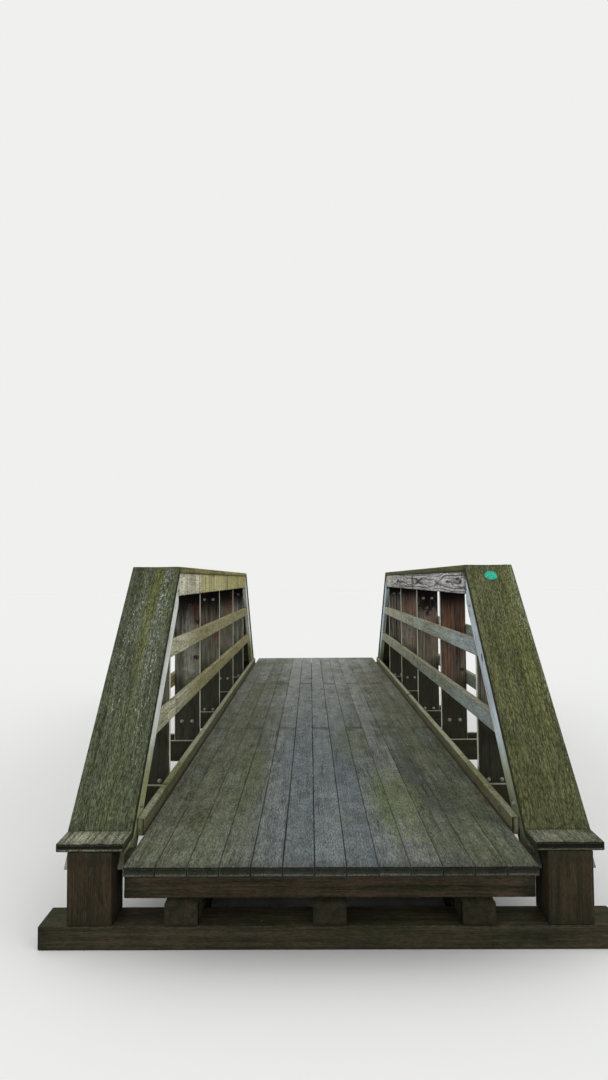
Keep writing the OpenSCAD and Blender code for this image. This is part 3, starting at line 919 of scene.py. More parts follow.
    # surface
    t.put(shader.inputs["Base Color"], now)
    t.put(shader.inputs["Roughness"], t.sum(0.76, t.times(life["Film"], 0.1), t.times(wood["Fibre"], 0.1)))
    shader.inputs["Specular IOR Level"].default_value = 0.12
    height = t.sum(t.times(wood["Relief"], 0.6), t.times(life["Height"], t.times(life["Film"], 0.8)),
                   t.times(specks, 0.4))
    t.roughen(shader, height, 0.7, 0.0022)
    return material


def metal_finish(name, clean, rusted, metallic, rust):
    """Weathered metal: grey with blooms of rust that dull it."""
    material, t, shader = new_material(name)
    place = t.node("ShaderNodeTexCoord").outputs["Object"]
    clouds = t.sum(t.noise(place, 55.0, 3.0, 0.6), t.times(t.noise(place, 3.0, 1.0), 0.5))
    bloom = t.fade(clouds, 0.95 - rust, 1.15 - rust)
    grit = t.noise(place, 700.0, 2.0)
    bright = t.blend(grit, shade(clean, 0.6), clean)
    brown = t.blend(grit, shade(rusted, 0.4), rusted)
    t.put(shader.inputs["Base Color"], t.blend(bloom, bright, brown))
    t.put(shader.inputs["Metallic"], t.times(t.less(1.0, bloom), metallic))
    t.put(shader.inputs["Roughness"], t.sum(0.5, t.times(bloom, 0.3), t.times(grit, 0.1)))
    t.roughen(shader, t.sum(grit, bloom), 0.5, 0.0006)
    return material


def paint_finish(name):
    """Way mark: matt paint, thin over the grit beneath, chipped in small flecks."""
    f = bpy.context.scene.footbridge_finish
    material, t, shader = new_material(name)
    place = t.node("ShaderNodeTexCoord").outputs["Object"]
    flaked = t.sum(t.noise(place, 120.0, 3.0, 0.65), t.times(t.noise(place, 24.0, 2.0), 0.4))
    chips = t.fade(flaked, 0.79, 0.87)
    cloud = t.noise(place, 90.0, 3.0, 0.6)
    paint = t.blend(t.fade(cloud, 0.35, 0.62), shade(f.mark, 0.5), shade(f.mark, 1.25))
    t.put(shader.inputs["Base Color"], t.blend(t.times(chips, 0.8), paint, f.algae))
    t.put(shader.inputs["Roughness"], t.sum(0.5, t.times(cloud, 0.2)))
    height = t.sum(t.times(chips, -1.0), t.noise(place, 300.0, 2.0))
    t.roughen(shader, height, 0.5, 0.0008)
    return material


def finish(name):
    """The material of that name, made when it is first asked for."""
    share_groups()
    label = name + "_finish"
    if label in bpy.data.materials:
        return bpy.data.materials[label]
    f = bpy.context.scene.footbridge_finish
    wide = CAP_HIGH.x - CAP_LOW.x
    over = CAP_LOW.x
    boards = {
        "deck_boards": dict(
            pale=f.deck_pale, dark=f.deck_dark, film_tones=(f.deck_moss, f.deck_green), ring=0.007,
            contrast=1.2, growth=0.06, film=0.75, moss=0.3, flecks=0.05, worn=0.1, dirt=0.5,
            dirt_reach=0.004, grit=0.45, sides=0.4, knots=0.35, grain_of_grit=(190.0, 36.0), mottle=0.15,
            washes=[("|x|", 0.46, 0.12, f.deck_blue, 0.7), ("y", -2.2, -3.9, f.deck_dark, 0.25),
                    # the last wash is painted sheen, paler towards the far end
                    ("y", -2.6, 1.6, f.deck_far_sheen, 0.7)],
            spots=[("xy", (0.36, -3.0), (0.15, 0.7), f.deck_patch, 0.7),
                   ("xy", (-0.6, -3.35), (0.06, 0.2), f.moss, 0.6),
                   ("xy", (-0.14, -2.2), (0.07, 0.6), f.deck_blue, 0.5),
                   ("xy", (-0.32, -2.31), (0.06, 0.14), f.lichen, 0.3),
                   ("xy", (0.62, 1.2), (0.2, 1.2), f.deck_brown, 0.45),
                   ("xy", (0.5, -2.5), (0.07, 0.4), f.deck_dark, 0.6),
                   ("xy", (-0.42, -2.4), (0.1, 0.9), f.deck_patch, 0.4),
                   ("xy", (0.2, -1.6), (0.09, 0.9), f.deck_patch, 0.4),
                   ("xy", (0.6, -3.0), (0.1, 0.4), f.deck_dark, 0.5),
                   ("xy", (-0.1, 1.0), (0.1, 1.0), f.deck_blue, 0.4)],
            facing=[("|ny|", 0.6, 0.9, f.damp_and_shade, 0.85)]),
        "rake_left": dict(
            pale=f.cap_pale, dark=f.cap_dark, film_tones=(f.film_grey_dark, f.film_grey), fleck=f.lichen,
            growth=0.46, film=0.9, flecks=0.25, dirt=0.3, grit=0.58,
            washes=[("z", 1.0, 0.5, f.moss, 0.4)],
            bands=[("|x|", over + 0.43 * wide, 0.032, 0.85, f.film_olive, 0.85),
                   ("|x|", over + 0.43 * wide, 0.032, 0.0, f.film_olive, 0.25),
                   ("|x|", over + 0.9 * wide, 0.05, 0.9, f.film_grey_dark, 0.45)],
            fleck_bands=[("|x|", over + 0.22 * wide, 0.05, 0.78, 0.6),
                         ("|x|", over + 0.22 * wide, 0.05, 0.0, 0.15),
                         ("|x|", over + 0.7 * wide, 0.06, 0.7, 0.5)],
            # painted shade: the side faces of the raking cap made dark
            facing=[("|nx|", 0.6, 0.9, f.damp_and_shade, 0.9)]),
        "rake_right": dict(
            pale=f.cap_pale, dark=f.cap_dark, film_tones=(f.film_moss, f.algae), fleck=f.lichen_green,
            growth=0.6, film=0.92, flecks=0.25, dirt=0.3, grit=0.58,
            bands=[("|x|", over + 0.7 * wide, 0.06, 0.7, f.film_olive, 0.5)],
            fleck_bands=[("|x|", over + 0.97 * wide, 0.03, 0.0, 0.8),
                         ("|x|", over + 0.88 * wide, 0.04, 1.05, 0.7)],
            # painted shade: the side faces of the raking cap made dark
            facing=[("|nx|", 0.6, 0.9, f.damp_and_shade, 0.9), ("z", 1.0, 0.45, f.moss, 0.4)]),
        "level_left": dict(
            pale=f.level_olive, dark=f.moss, film_tones=(f.film_grey_dark, f.film_grey), growth=0.2,
            film=0.6, moss=0.2, flecks=0.3, runs=0.3, dirt=0.3,
            facing=[("up", 0.6, 0.9, f.film_grey, 0.7)]),
        "level_right": dict(
            pale=f.algae, dark=f.moss, film_tones=(f.moss, f.algae), growth=0.4, film=0.7, moss=0.3,
            flecks=0.3, worn=0.4, dirt=0.3),
        "foot_cap": dict(
            pale=f.foot_pale, dark=f.cap_dark, film_tones=(f.film_grey_dark, f.film_grey), contrast=1.5,
            growth=0.02, moss=0.5, flecks=0.6, worn=0.8, grit=0.5,
            washes=[("x", -0.2, 0.2, f.cap_dark, 0.6)],
            # painted shade: the front faces of the foot caps near black and their side faces dark
            facing=[("|ny|", 0.6, 0.9, f.foot_front_shade, 0.97), ("|nx|", 0.6, 0.9, f.damp_and_shade, 0.9)]),
        "fascia_left": dict(
            pale=f.fascia_pale, dark=f.fascia_shade, stain=f.fascia_stain, grain=0.0, film=0.15,
            moss=0.15, runs=0.7, worn=0.3, dirt=0.6, grit=0.22, grain_of_grit=(130.0, 20.0),
            washes=[("y", -1.75, -1.2, f.fascia_olive, 0.8), ("y", -0.6, 1.2, f.fascia_far, 0.7)],
            spots=[("yz", (-1.73, 1.51), (0.03, 0.12), f.grain_dark, 0.6),
                   ("yz", (-2.18, 1.569), (0.03, 0.012), f.knot, 0.8),
                   ("yz", (-2.28, 1.525), (0.03, 0.01), f.knot, 0.6),
                   ("yz", (-1.9, 1.544), (0.03, 0.01), f.knot, 0.6),
                   ("yz", (-1.2, 1.51), (0.05, 0.12), f.fascia_stain, 0.7),
                   ("yz", (0.3, 1.51), (0.1, 0.12), f.moss, 0.4),
                   ("yz", (-2.04, 1.51), (0.014, 0.14), f.grain_dark, 0.7),
                   ("yz", (-1.5, 1.51), (0.02, 0.14), f.fascia_stain, 0.8),
                   ("yz", (-0.85, 1.51), (0.022, 0.14), f.grain_dark, 0.6),
                   ("yz", (-0.2, 1.51), (0.03, 0.14), f.moss, 0.6)]),
        "fascia_right": dict(
            pale=f.fascia_grey, dark=f.grain_dark, stain=f.fascia_plum, ring=0.009, wander=0.04,
            grain=1.0, contrast=1.1, film=0.3, moss=0.1, runs=0.35, worn=0.2, dirt=0.7, grit=0.28,
            knots=1.0, grain_of_grit=(130.0, 14.0),
            washes=[("y", 1.2, 2.4, f.rail_left, 0.6)],
            spots=[("yz", (0.0, 1.51), (0.09, 0.13), f.fascia_brown, 0.8),
                   ("yz", (-2.2, 1.514), (0.05, 0.014), f.knot, 0.9),
                   ("yz", (-2.1, 1.533), (0.05, 0.012), f.knot, 0.9),
                   # painted shade: a short near black line under the near end of the right level cap
                   ("yz", (-2.3, 1.56), (0.14, 0.014), f.shade_and_stain, 0.8),
                   ("yz", (0.9, 1.51), (0.1, 0.13), f.fascia_plum, 0.6)]),
        "rail_left": dict(
            pale=f.rail_left, dark=f.rail_dark, stain=f.fascia_stain, grain=0.3, growth=0.1, flecks=0.1,
            runs=0.5, worn=0.6, grit=0.28, grain_of_grit=(130.0, 20.0),
            washes=[("y", -2.3, -1.5, f.fascia_stain, 0.75)]),
        "rail_right": dict(
            pale=f.rail_right, dark=f.rail_dark, stain=f.rail_stain, grain=0.35, growth=0.06, film=0.45,
            flecks=0.1, runs=0.45, worn=0.6, grit=0.28, grain_of_grit=(130.0, 20.0),
            washes=[("y", -1.0, 2.4, f.rail_left, 0.45), ("y", -1.5, -2.2, f.strip_blue, 0.55),
                    ("z", 1.0, 0.85, f.rail_stain, 0.4)],
            facing=[("up", 0.6, 0.9, f.rail_edge, 0.6)]),
        "strip_left": dict(
            pale=f.strip_left, dark=f.strip_shade, grain=0.1, film=0.15, moss=0.1, runs=0.1, worn=0.2,
            dirt=0.3, grit=0.15,
            washes=[("z", 0.84, 0.58, f.strip_green, 0.9)],
            spots=[("yz", (-2.381, 1.471), (0.04, 0.011), f.shade_and_stain, 0.95)]),
        "strip_right": dict(
            pale=f.strip_right, dark=f.strip_blue, grain=0.12, film=0.12, moss=0.1, runs=0.1, worn=0.2,
            dirt=0.3, grit=0.15,
            washes=[("z", 0.8, 0.56, f.strip_green, 0.75), ("z", 0.62, 0.46, f.moss, 0.7)],
            spots=[("yz", (-2.377, 1.468), (0.04, 0.011), f.shade_and_stain, 0.95),
                   ("yz", (-2.466, 1.372), (0.04, 0.011), f.shade_and_stain, 0.95),
                   ("yz", (-2.45, 1.33), (0.05, 0.03), f.rust, 0.5)]),
        "upright_left": dict(
            pale=f.post_pale, dark=f.post_dark, stain=f.post_dark, ring=0.012, wander=0.05, grain=0.4,
            contrast=1.3, film=0.35, moss=0.2, runs=0.4, worn=0.7, grit=0.2, grain_of_grit=(110.0, 8.0),
            # the dark wash at the foot is damp growth together with painted shade near the ground
            washes=[("z", 1.28, 1.02, f.post_green, 0.65), ("z", 0.9, 0.6, f.damp_and_shade, 0.85),
                    # the near black wash at the top is painted shade under the fascia, partly stain
                    ("z", 1.12, 1.4, f.shade_and_stain, 0.95)],
            spots=[("xyz", (-0.99, -1.22, 1.05), (0.05, 0.1, 0.35), f.post_pale, 0.5),
                   ("xyz", (-0.93, -1.22, 1.3), (0.05, 0.1, 0.1), f.post_brown, 0.7),
                   ("xyz", (-0.93, 1.22, 1.25), (0.05, 0.1, 0.2), f.post_brown, 0.7),
                   ("xyz", (-0.93, 0.0, 1.0), (0.05, 0.1, 0.2), f.post_brown, 0.4),
                   ("xyz", (-0.925, -1.22, 1.225), (0.03, 0.1, 0.02), f.knot, 0.9),
                   ("xyz", (-0.935, -1.22, 0.955), (0.03, 0.1, 0.02), f.knot, 0.9)],
            # the z facing adds painted shade under the fascia, partly stain
            # the |nx| facing paints the narrow edge faces pale: bleaching with a painted highlight
            facing=[("z", 1.1, 1.42, f.shade_and_stain, 0.8), ("|nx|", 0.6, 0.9, f.edge_bleach_and_light, 0.95)]),
        "upright_right": dict(
            pale=f.post_grey, dark=f.post_dark, stain=f.post_dark, ring=0.014, wander=0.05, grain=0.45,
            contrast=0.85, film=0.35, moss=0.2, runs=0.35, worn=0.7, grit=0.2, grain_of_grit=(110.0, 8.0),
            # the dark wash at the foot is damp growth together with painted shade near the ground
            washes=[("z", 1.0, 0.7, f.post_green, 0.5), ("z", 0.86, 0.62, f.damp_and_shade, 0.9),
                    # the near black wash at the top is painted shade under the fascia, partly stain
                    ("z", 1.3, 1.42, f.shade_and_stain, 0.95)],
            # the first spot is painted shade, partly stain, at the top of the middle right upright
            spots=[("xyz", (1.0, 0.0, 1.33), (0.2, 0.1, 0.13), f.shade_and_stain, 0.9),
                   ("xyz", (0.92, 0.0, 1.0), (0.03, 0.1, 0.3), f.post_green, 0.8),
                   ("xyz", (0.96, 1.22, 0.95), (0.08, 0.1, 0.15), f.post_grey, 0.6),
                   ("xyz", (1.07, -1.22, 0.85), (0.03, 0.1, 0.015), f.knot, 0.9)],
            # the z facing adds painted shade under the fascia, partly stain
            # the |nx| facing paints the narrow edge faces pale: bleaching with a painted highlight
            facing=[("z", 1.1, 1.5, f.shade_and_stain, 0.6), ("|nx|", 0.6, 0.9, f.edge_bleach_and_light, 0.95)]),
        "edge_board": dict(
            pale=f.curb_pale, dark=f.rail_dark, grain=0.3, growth=0.12, flecks=0.1, worn=0.6,
            spots=[("yz", (-2.7, 0.44), (0.5, 0.06), f.film_olive, 0.7)],
            # moss together with painted shade on the side faces
            facing=[("|nx|", 0.6, 0.9, f.curb_side_shade_and_moss, 0.8)]),
        "foot_block": dict(
            pale=f.block_pale, dark=f.damp_and_shade, grain=0.4, growth=0.1, film=0.4, moss=0.3, dirt=0.5,
            grit=0.25),
        "frame_timber": dict(
            pale=f.frame_pale, dark=f.damp_and_shade, grain=0.4, growth=0.15, film=0.6, moss=0.4, flecks=0.05,
            runs=0.3, dirt=0.5, grit=0.25,
            washes=[("z", 0.4, 0.05, f.damp_and_shade, 0.5)]),
        "tie": dict(
            # ties and floor beams: dark faces that are damp and painted shade, tops painted pale as lit
            pale=f.tie_face_damp_and_shade, dark=f.damp_and_shade, grain=0.4, growth=0.1, moss=0.3, grit=0.25,
            facing=[("up", 0.6, 0.9, f.tie_top_lit, 0.95)]),
    }
    if name in boards:
        return board_finish(label, **boards[name])
    if name == "bolt_zinc":
        return metal_finish(label, f.zinc, f.rust, metallic=0.6, rust=0.12)
    if name == "nail_rust":
        return metal_finish(label, (0.25, 0.23, 0.21), f.rust, metallic=0.5, rust=0.5)
    return paint_finish(label)


# Operators

class FOOTBRIDGE_OT_deck(bpy.types.Operator):
    """Deck boards, each in two lengths that meet on a floor beam"""
    bl_idname = "footbridge.deck"
    bl_label = "Deck"

    def execute(self, context):
        t = context.scene.footbridge_timber
        chance = np.random.default_rng(5)
        stack = Stack()
        half, thick = DECK_HIGH.x, DECK_HIGH.z - DECK_LOW.z
        pitch = (2 * half + t.deck_joint) / t.deck_across
        wide = pitch - t.deck_joint
        most_cup, arris = 0.0018, 0.0013
        for i in range(t.deck_across):
            meet = (-BAY if i % 2 == 0 else BAY) + POST_T
            narrow = chance.uniform(-0.0002, 0.0007)
            at = (-half + i * pitch + wide / 2, 0, DECK_LOW.z)
            lengths = ((-DECK_HIGH.y, meet - BUTT / 2), (meet + BUTT / 2, DECK_HIGH.y))
            for k, (low, high) in enumerate(lengths):
                look = (chance.uniform(0, 0.05), chance.uniform(-0.75, 0.65), chance.uniform(-0.25, 0.3))
                board(stack, at, AHEAD, UP, wide - 2 * narrow, thick, (low, 0, 0), (high, 0, 0),
                      100 + 2 * i + k, finish=look, sink=chance.uniform(0, t.settle),
                      cup=chance.uniform(0, most_cup), row_step=0.065, checked=1, arris=arris)
        stack.piece("deck_boards", finish("deck_boards"), "deck_boards", ["deck"])
        return {"FINISHED"}


class FOOTBRIDGE_OT_edge_boards(bpy.types.Operator):
    """Edge boards that stand beside the deck"""
    bl_idname = "footbridge.edge_boards"
    bl_label = "Edge boards"

    def execute(self, context):
        for side in BOTH:
            low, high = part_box("curb_" + NAMES[side])
            stack = Stack()
            board(stack, (low.x, 0, (low.z + high.z) / 2), AHEAD, ACROSS, high.z - low.z, high.x - low.x,
                  (low.y, 0, 0), (high.y, 0, 0), 160 + side, finish=(0, 0.1, 0), row_step=0.05,
                  column_step=NARROW)
            stack.piece("edge_board_" + NAMES[side], finish("edge_board"), "frame_timber",
                        ["curb_" + NAMES[side]])
        return {"FINISHED"}


class FOOTBRIDGE_OT_uprights(bpy.types.Operator):
    """Upright planks, the first and the last cut to the slope"""
    bl_idname = "footbridge.uprights"
    bl_label = "Uprights"

    def execute(self, context):
        # each upright from near to far: how brown, how bleached, how green
        looks = {
            -1: ((0.5, -0.2, 0.1), (0.35, -0.05, 0.05), (0.5, -0.3, 0.1), (0.75, 0.45, 0.0),
                 (0.1, -0.4, 0.2)),
            1: ((0.2, 0.1, 0.2), (1.0, 0.0, 0.0), (0.6, 0.1, 0.05), (0.85, 0.6, 0.0), (0.1, -0.3, 0.2)),
        }
        wide = POST_HIGH.x - POST_LOW.x
        middle = (POST_HIGH.x + POST_LOW.x) / 2
        for side in BOTH:
            stack = Stack()
            for i in FRAMES:
                y = i * BAY
                end = (CAP_LOW.z, 0, 0)
                if abs(i) == 2:
                    tilt = -math.copysign(math.tan(RAKE), i)
                    end = (rake_z(abs(y), CAP_T) - tilt * POST_T / 2, 0, tilt)
                board(stack, (side * middle, y - POST_T / 2, 0), UP, AHEAD, wide, POST_T,
                      (POST_LOW.z, 0, 0), end, 200 + 10 * side + i, finish=looks[side][i + 2],
                      row_step=0.04, checked=2)
            name = NAMES[side]
            stack.piece("uprights_" + name, finish("upright_" + name), "upright_planks",
                        ["posts_" + name])
        return {"FINISHED"}


class FOOTBRIDGE_OT_rails(bpy.types.Operator):
    """Middle and low rails, each in two lengths, ends cut to the raking strips"""
    bl_idname = "footbridge.rails"
    bl_label = "Rails"

    def execute(self, context):
        # the frame at which each rail's two lengths meet
        meets = {("mid", -1, True): 1, ("mid", -1, False): 0, ("mid", 1, True): 0, ("mid", 1, False): -1,
                 ("low", -1, True): -2, ("low", -1, False): 1, ("low", 1, True): -1, ("low", 1, False): 0}
        for (level, side, inner), joint in meets.items():
            node = "%s_rail_%s_%s" % (level, NAMES[side], WHERE[inner])
            low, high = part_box(node)
            mid = (low.z + high.z) / 2
            meet = joint * BAY
            cut = (rake_y(mid, STRIP_UNDER), -1 / math.tan(RAKE))
            stack = Stack()
            seed = 300 + 40 * (level == "low") + 10 * side + 5 * inner
            at = (face_x(side, inner), 0, mid)
            lengths = (((-cut[0], -cut[1], 0), (meet - BUTT / 2, 0, 0), (0.05, 0.1, 0.05)),
                       ((meet + BUTT / 2, 0, 0), (cut[0], cut[1], 0), (0.1, -0.1, 0.15)))
            for k, (start, end, look) in enumerate(lengths):
                board(stack, at, AHEAD, ACROSS, RAIL_H, RAIL_T, start, end, seed + k, finish=look,
                      column_step=NARROW)
            stack.piece(node + "_boards", finish("rail_" + NAMES[side]), "rail_boards", [node])
        return {"FINISHED"}


class FOOTBRIDGE_OT_fascias(bpy.types.Operator):
    """Fascia boards right under the level caps"""
    bl_idname = "footbridge.fascias"
    bl_label = "Fascias"

    def execute(self, context):
        for side, inner in FACES:
            node = "fascia_%s_%s" % (NAMES[side], WHERE[inner])
            low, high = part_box(node)
            stack = Stack()
            face = 1 if (side < 0) == inner else 0
            splits = None
            if side > 0:
                # the long checks of the right fascias: height, face, where they begin and end, depth
                splits = [(0.024, face, -0.5, 0.62, 1.2), (-0.03, face, -0.2, 0.4, 0.9),
                          (0.046, face, 1.1, 1.9, 0.8), (-0.012, face, 2.4, 3.7, 0.7)]
            board(stack, (low.x, 0, (low.z + high.z) / 2), AHEAD, ACROSS, high.z - low.z, high.x - low.x,
                  (low.y, 0, 0), (high.y, 0, 0), 400 + 10 * side + inner, finish=(0.05, 0.1, 0),
                  splits=splits, pith=(0.004, 0.1 if face == 0 else -0.06))
            stack.piece(node + "_board", finish("fascia_" + NAMES[side]), "rail_boards", [node])
        return {"FINISHED"}


class FOOTBRIDGE_OT_strips(bpy.types.Operator):
    """Raking strips under the raking caps, plumb at the top and level at the foot"""
    bl_idname = "footbridge.strips"
    bl_label = "Raking strips"

    def execute(self, context):
        sin, cos = math.sin(RAKE), math.cos(RAKE)
        mid = -(CAP_T + STRIP_H / 2)
        top = (-MITRE - mid * sin) / cos
        foot = (CAP_HIGH.z - STRIP_LOW.z + mid * cos) / sin
        for side, inner in FACES:
            node = "strips_%s_%s" % (NAMES[side], WHERE[inner])
            stack = Stack()
            for end in BOTH:
                down, out = rake_frame(end)
                at = Vector((face_x(side, inner), end * CORNER_Y, CAP_HIGH.z)) + mid * out
                board(stack, at, down, ACROSS, STRIP_H, RAIL_T, (top, -end * sin / cos, 0),
                      (foot, end * cos / sin, 0), 500 + 20 * side + 6 * inner + end, finish=(0, 0.2, 0),
                      row_step=0.045, column_step=NARROW)
            stack.piece(node + "_boards", finish("strip_" + NAMES[side]), "rail_boards", [node])
        return {"FINISHED"}


class FOOTBRIDGE_OT_caps(bpy.types.Operator):
    """Level caps, raking caps and foot caps, mitred into each other at the bends"""
    bl_idname = "footbridge.caps"
    bl_label = "Caps"

    def execute(self, context):
        wide, middle = CAP_HIGH.x - CAP_LOW.x, (CAP_HIGH.x + CAP_LOW.x) / 2
        bevel = MITRE / CAP_T
        for side in BOTH:
            name = NAMES[side]
            stack = Stack()
            board(stack, (side * middle, 0, CAP_LOW.z), AHEAD, UP, wide, CAP_T,
                  (MITRE - CORNER_Y, 0, -bevel), (CORNER_Y - MITRE, 0, bevel), 600 + side,
                  cup=0.0015, row_step=0.05, checked=2)
            stack.piece("level_cap_" + name, finish("level_" + name), "cap_boards", ["cap_" + name])
            raking, foot = Stack(), Stack()
            for end in BOTH:
                down, out = rake_frame(end)
                at = Vector((side * middle, end * CORNER_Y, CAP_HIGH.z)) - CAP_T * out
                board(raking, at, down, out, wide, CAP_T, (MITRE, 0, -bevel), (RAKE_LONG + MITRE, 0, -bevel),
                      620 + 10 * side + end, cup=0.002, row_step=0.035, column_step=NARROW, checked=3)
                long = FOOT_END - FOOT_Y + MITRE
                # the near right foot cap is split through from its end
                split = [(0.16 * wide, 1, 0.4 * long, 1.6 * long, 1.4)] if side > 0 > end else None
                board(foot, (side * middle, 0, FOOT_LOW.z), AHEAD * end, UP, wide, CAP_T,
                      (FOOT_Y - MITRE, 0, bevel), (FOOT_END, 0, 0), 640 + 10 * side + end,
                      row_step=0.025, column_step=NARROW, checked=2, splits=split)
            raking.piece("raking_cap_boards_" + name, finish("rake_" + name), "cap_boards",
                         ["raking_caps_" + name])
            foot.piece("foot_cap_boards_" + name, finish("foot_cap"), "cap_boards",
                       ["foot_caps_" + name])
        return {"FINISHED"}


class FOOTBRIDGE_OT_floor_frame(bpy.types.Operator):
    """Floor beams, ties, end beams, sills, foot blocks and stringers"""
    bl_idname = "footbridge.floor_frame"
    bl_label = "Floor frame"

    def execute(self, context):
        timber = finish("frame_timber")
        crossings = (("floor_beams", "floor_beam_timbers", POST_T / 2, 700),
                     ("tie_beams", "tie_timbers", -POST_T / 2 - POST_T, 720))
        for node, name, offset, seed in crossings:
            low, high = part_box(node)
            stack = Stack()
            for i in FRAMES:
                self.crossing(stack, low, high, i * BAY + offset, POST_T, seed + i, (0.0, 0.1, 0.1))
            stack.piece(name, finish("tie"), "frame_timber", [node])
        low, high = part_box("end_beams")
        stack = Stack()
        for end in BOTH:
            y = high.y - END_BEAM_T if end > 0 else low.y
            self.crossing(stack, low, high, y, END_BEAM_T, 740 + end, (0.2, 0, 0.1))
        stack.piece("end_beam_timbers", timber, "frame_timber", ["end_beams"])
        for end, node in ((-1, "sill_near"), (1, "sill_far")):
            low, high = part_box(node)
            stack = Stack()
            board(stack, (0, (low.y + high.y) / 2, low.z), ACROSS, UP, high.y - low.y, high.z - low.z,
                  (low.x, 0, 0), (high.x, 0, 0), 750 + end, finish=(0.2, 0, 0.2))
            stack.piece(node + "_timber", timber, "frame_timber", [node])
        deep = SILL_HIGH.y - SILL_LOW.y
        for side in BOTH:
            node = "foot_blocks_" + NAMES[side]
            low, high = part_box(node)
            stack = Stack()
            for end in BOTH:
                y = high.y - deep if end > 0 else low.y
                board(stack, ((low.x + high.x) / 2, y, 0), UP, AHEAD, high.x - low.x, deep,
                      (low.z, 0, 0), (high.z, 0, 0), 760 + 4 * side + end, finish=(0.1, 0, 0.2),
                      row_step=0.03)
            stack.piece(node + "_timber", finish("foot_block"), "frame_timber", [node])
        for name in ("stringer_left", "stringer_mid", "stringer_right"):
            self.stringer(name, timber)
        return {"FINISHED"}

    def crossing(self, stack, low, high, y, thick, seed, look):
        """A beam on edge from side to side of its node's box, its near face at y."""
        board(stack, (0, y, (low.z + high.z) / 2), ACROSS, AHEAD, high.z - low.z, thick,
              (low.x, 0, 0), (high.x, 0, 0), seed, finish=look)

    def stringer(self, node, material):
        """A notched timber: its outline in Y and Z, inset by the arris at both faces and carried across.
        The two faces are grids between the outline's upper and lower lines."""
        low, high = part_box(node)
        r = bpy.context.scene.footbridge_timber.arris
        wide, shoulder = high.x - low.x, SILL_LOW.y - BUTT
        at_ends, between, through, hollow = 0.05, 0.08, 0.035, 0.0006
        near, far = spread(-high.y, -shoulder, at_ends), spread(shoulder, high.y, at_ends)
        y = np.concatenate([near, spread(-shoulder, shoulder, between), far])
        notched = np.ones(len(y), bool)
        notched[len(near): len(y) - len(near)] = False
        floor = np.where(notched, SILL_HIGH.z, low.z)
        chance = np.random.default_rng(int(1000 + 100 * low.x))
        inner = spread(r, wide - r, through)[1:-1]
        stations = np.array([0, 0.3 * r, r, *inner, wide - r, wide - 0.3 * r, wide])
        inset = r * np.array([*ROUND_IN, *[0] * (len(stations) - 4), *ROUND_IN[::-1]])
        rows = np.linspace(0, 1, 6)
        # the block of points: station, row from the lower line to the upper line, place along the bridge
        lift = inset[:, None, None]
        centre = 1 - 2 * rows[None, :, None]
        zz = floor + rows[None, :, None] * (high.z - floor) + lift * centre
        ends = np.where(np.arange(len(y)) == 0, 1, np.where(np.arange(len(y)) == len(y) - 1, -1, 0))
        yy = np.broadcast_to(y + lift * ends, zz.shape)
        xx = np.broadcast_to(low.x + stations[:, None, None], zz.shape)
        zz = zz - hollow * np.abs(np.sin(yy * 9 + xx * 70)) * centre * (np.abs(centre) > 0.9)
        block = np.stack([xx, yy, zz], -1)
        number = np.arange(block[..., 0].size).reshape(zz.shape)
        quads = np.concatenate([
            grid_quads(number[0], True), grid_quads(number[-1]),
            grid_quads(number[:, 0, :], True), grid_quads(number[:, -1, :]),
            grid_quads(number[:, :, 0]), grid_quads(number[:, :, -1], True)])
        points = block.reshape(-1, 3)
        used = np.unique(quads)
        renumber = np.zeros(len(points), int)
        renumber[used] = np.arange(len(used))
        points, quads = points[used], renumber[quads]
        x, y, z = points.T
        pith = 0.03
        log = np.stack([x - low.x - pith, z - high.z - pith, y + chance.uniform(-9, 9)], 1)
        edge = np.minimum(x - low.x, high.x - x)
        wear = np.stack([np.clip(edge, 0, 1), high.y - np.abs(y), np.full(len(x), chance.random())], 1)
        make_piece(node + "_timber", points, quads, material, [node],
                   {"log": log, "wear": wear, "finish": np.broadcast_to((0.2, 0.0, 0.1), points.shape)})


class FOOTBRIDGE_OT_bolts(bpy.types.Operator):
    """Bolts in pairs through the uprights, with washers, heads, nuts and thread ends"""
    bl_idname = "footbridge.bolts"
    bl_label = "Bolts"

    def execute(self, context):
        b = context.scene.footbridge_fixing
        flat, washer = b.head_flat / 2, b.washer / 2
        stem = flat * 0.55
        sunk, washer_t, head_top, nut_top, stem_top = -0.001, 0.0022, 0.0108, 0.0122, 0.0215
        disc = [(0, sunk), (washer, sunk), (washer, 0.0015), (washer - 0.001, washer_t), (flat, washer_t)]
        # rings 4 to 6 of both profiles have six flats
        head = turned(disc + [(flat, 0.009), (flat * 0.97, 0.0102), (flat * 0.8, head_top),
                              (0, head_top)], 24, 6, 4, 6)
        nut = turned(disc + [(flat, 0.011), (flat * 0.9, nut_top), (stem, nut_top), (stem, 0.0205),
                             (stem * 0.8, stem_top), (0, stem_top)], 24, 6, 4, 6)
        for side in BOTH:
            fronts, backs = [], []
            for i in FRAMES:
                heights = [DECK_HIGH.z + (b.bolt_mid if i % 2 else -b.bolt_low)]
                if i % 2 == 0:
                    heights.append(DECK_HIGH.z + b.bolt_high)
                for z in heights:
                    for k in (0, 1):
                        x = side * (POST_LOW.x + b.bolt_in + k * b.bolt_apart)
                        behind = i * BAY + POST_T / 2 + (POST_T if z < DECK_LOW.z else 0)
                        fronts.append((x, i * BAY - POST_T / 2, z))
                        backs.append((x, behind, z))
            chance = np.random.default_rng(31 + side)
            made = [scatter(head, fronts, -AHEAD, chance), scatter(nut, backs, AHEAD, chance)]
            for inner in (True, False):
                out, x = face_out(side, inner)
                made.append(scatter(head, on_strips(x, STRIP_BOLTS), (out, 0, 0), chance))
            join_shapes("bolts_" + NAMES[side], made, "bolt_zinc")
        return {"FINISHED"}


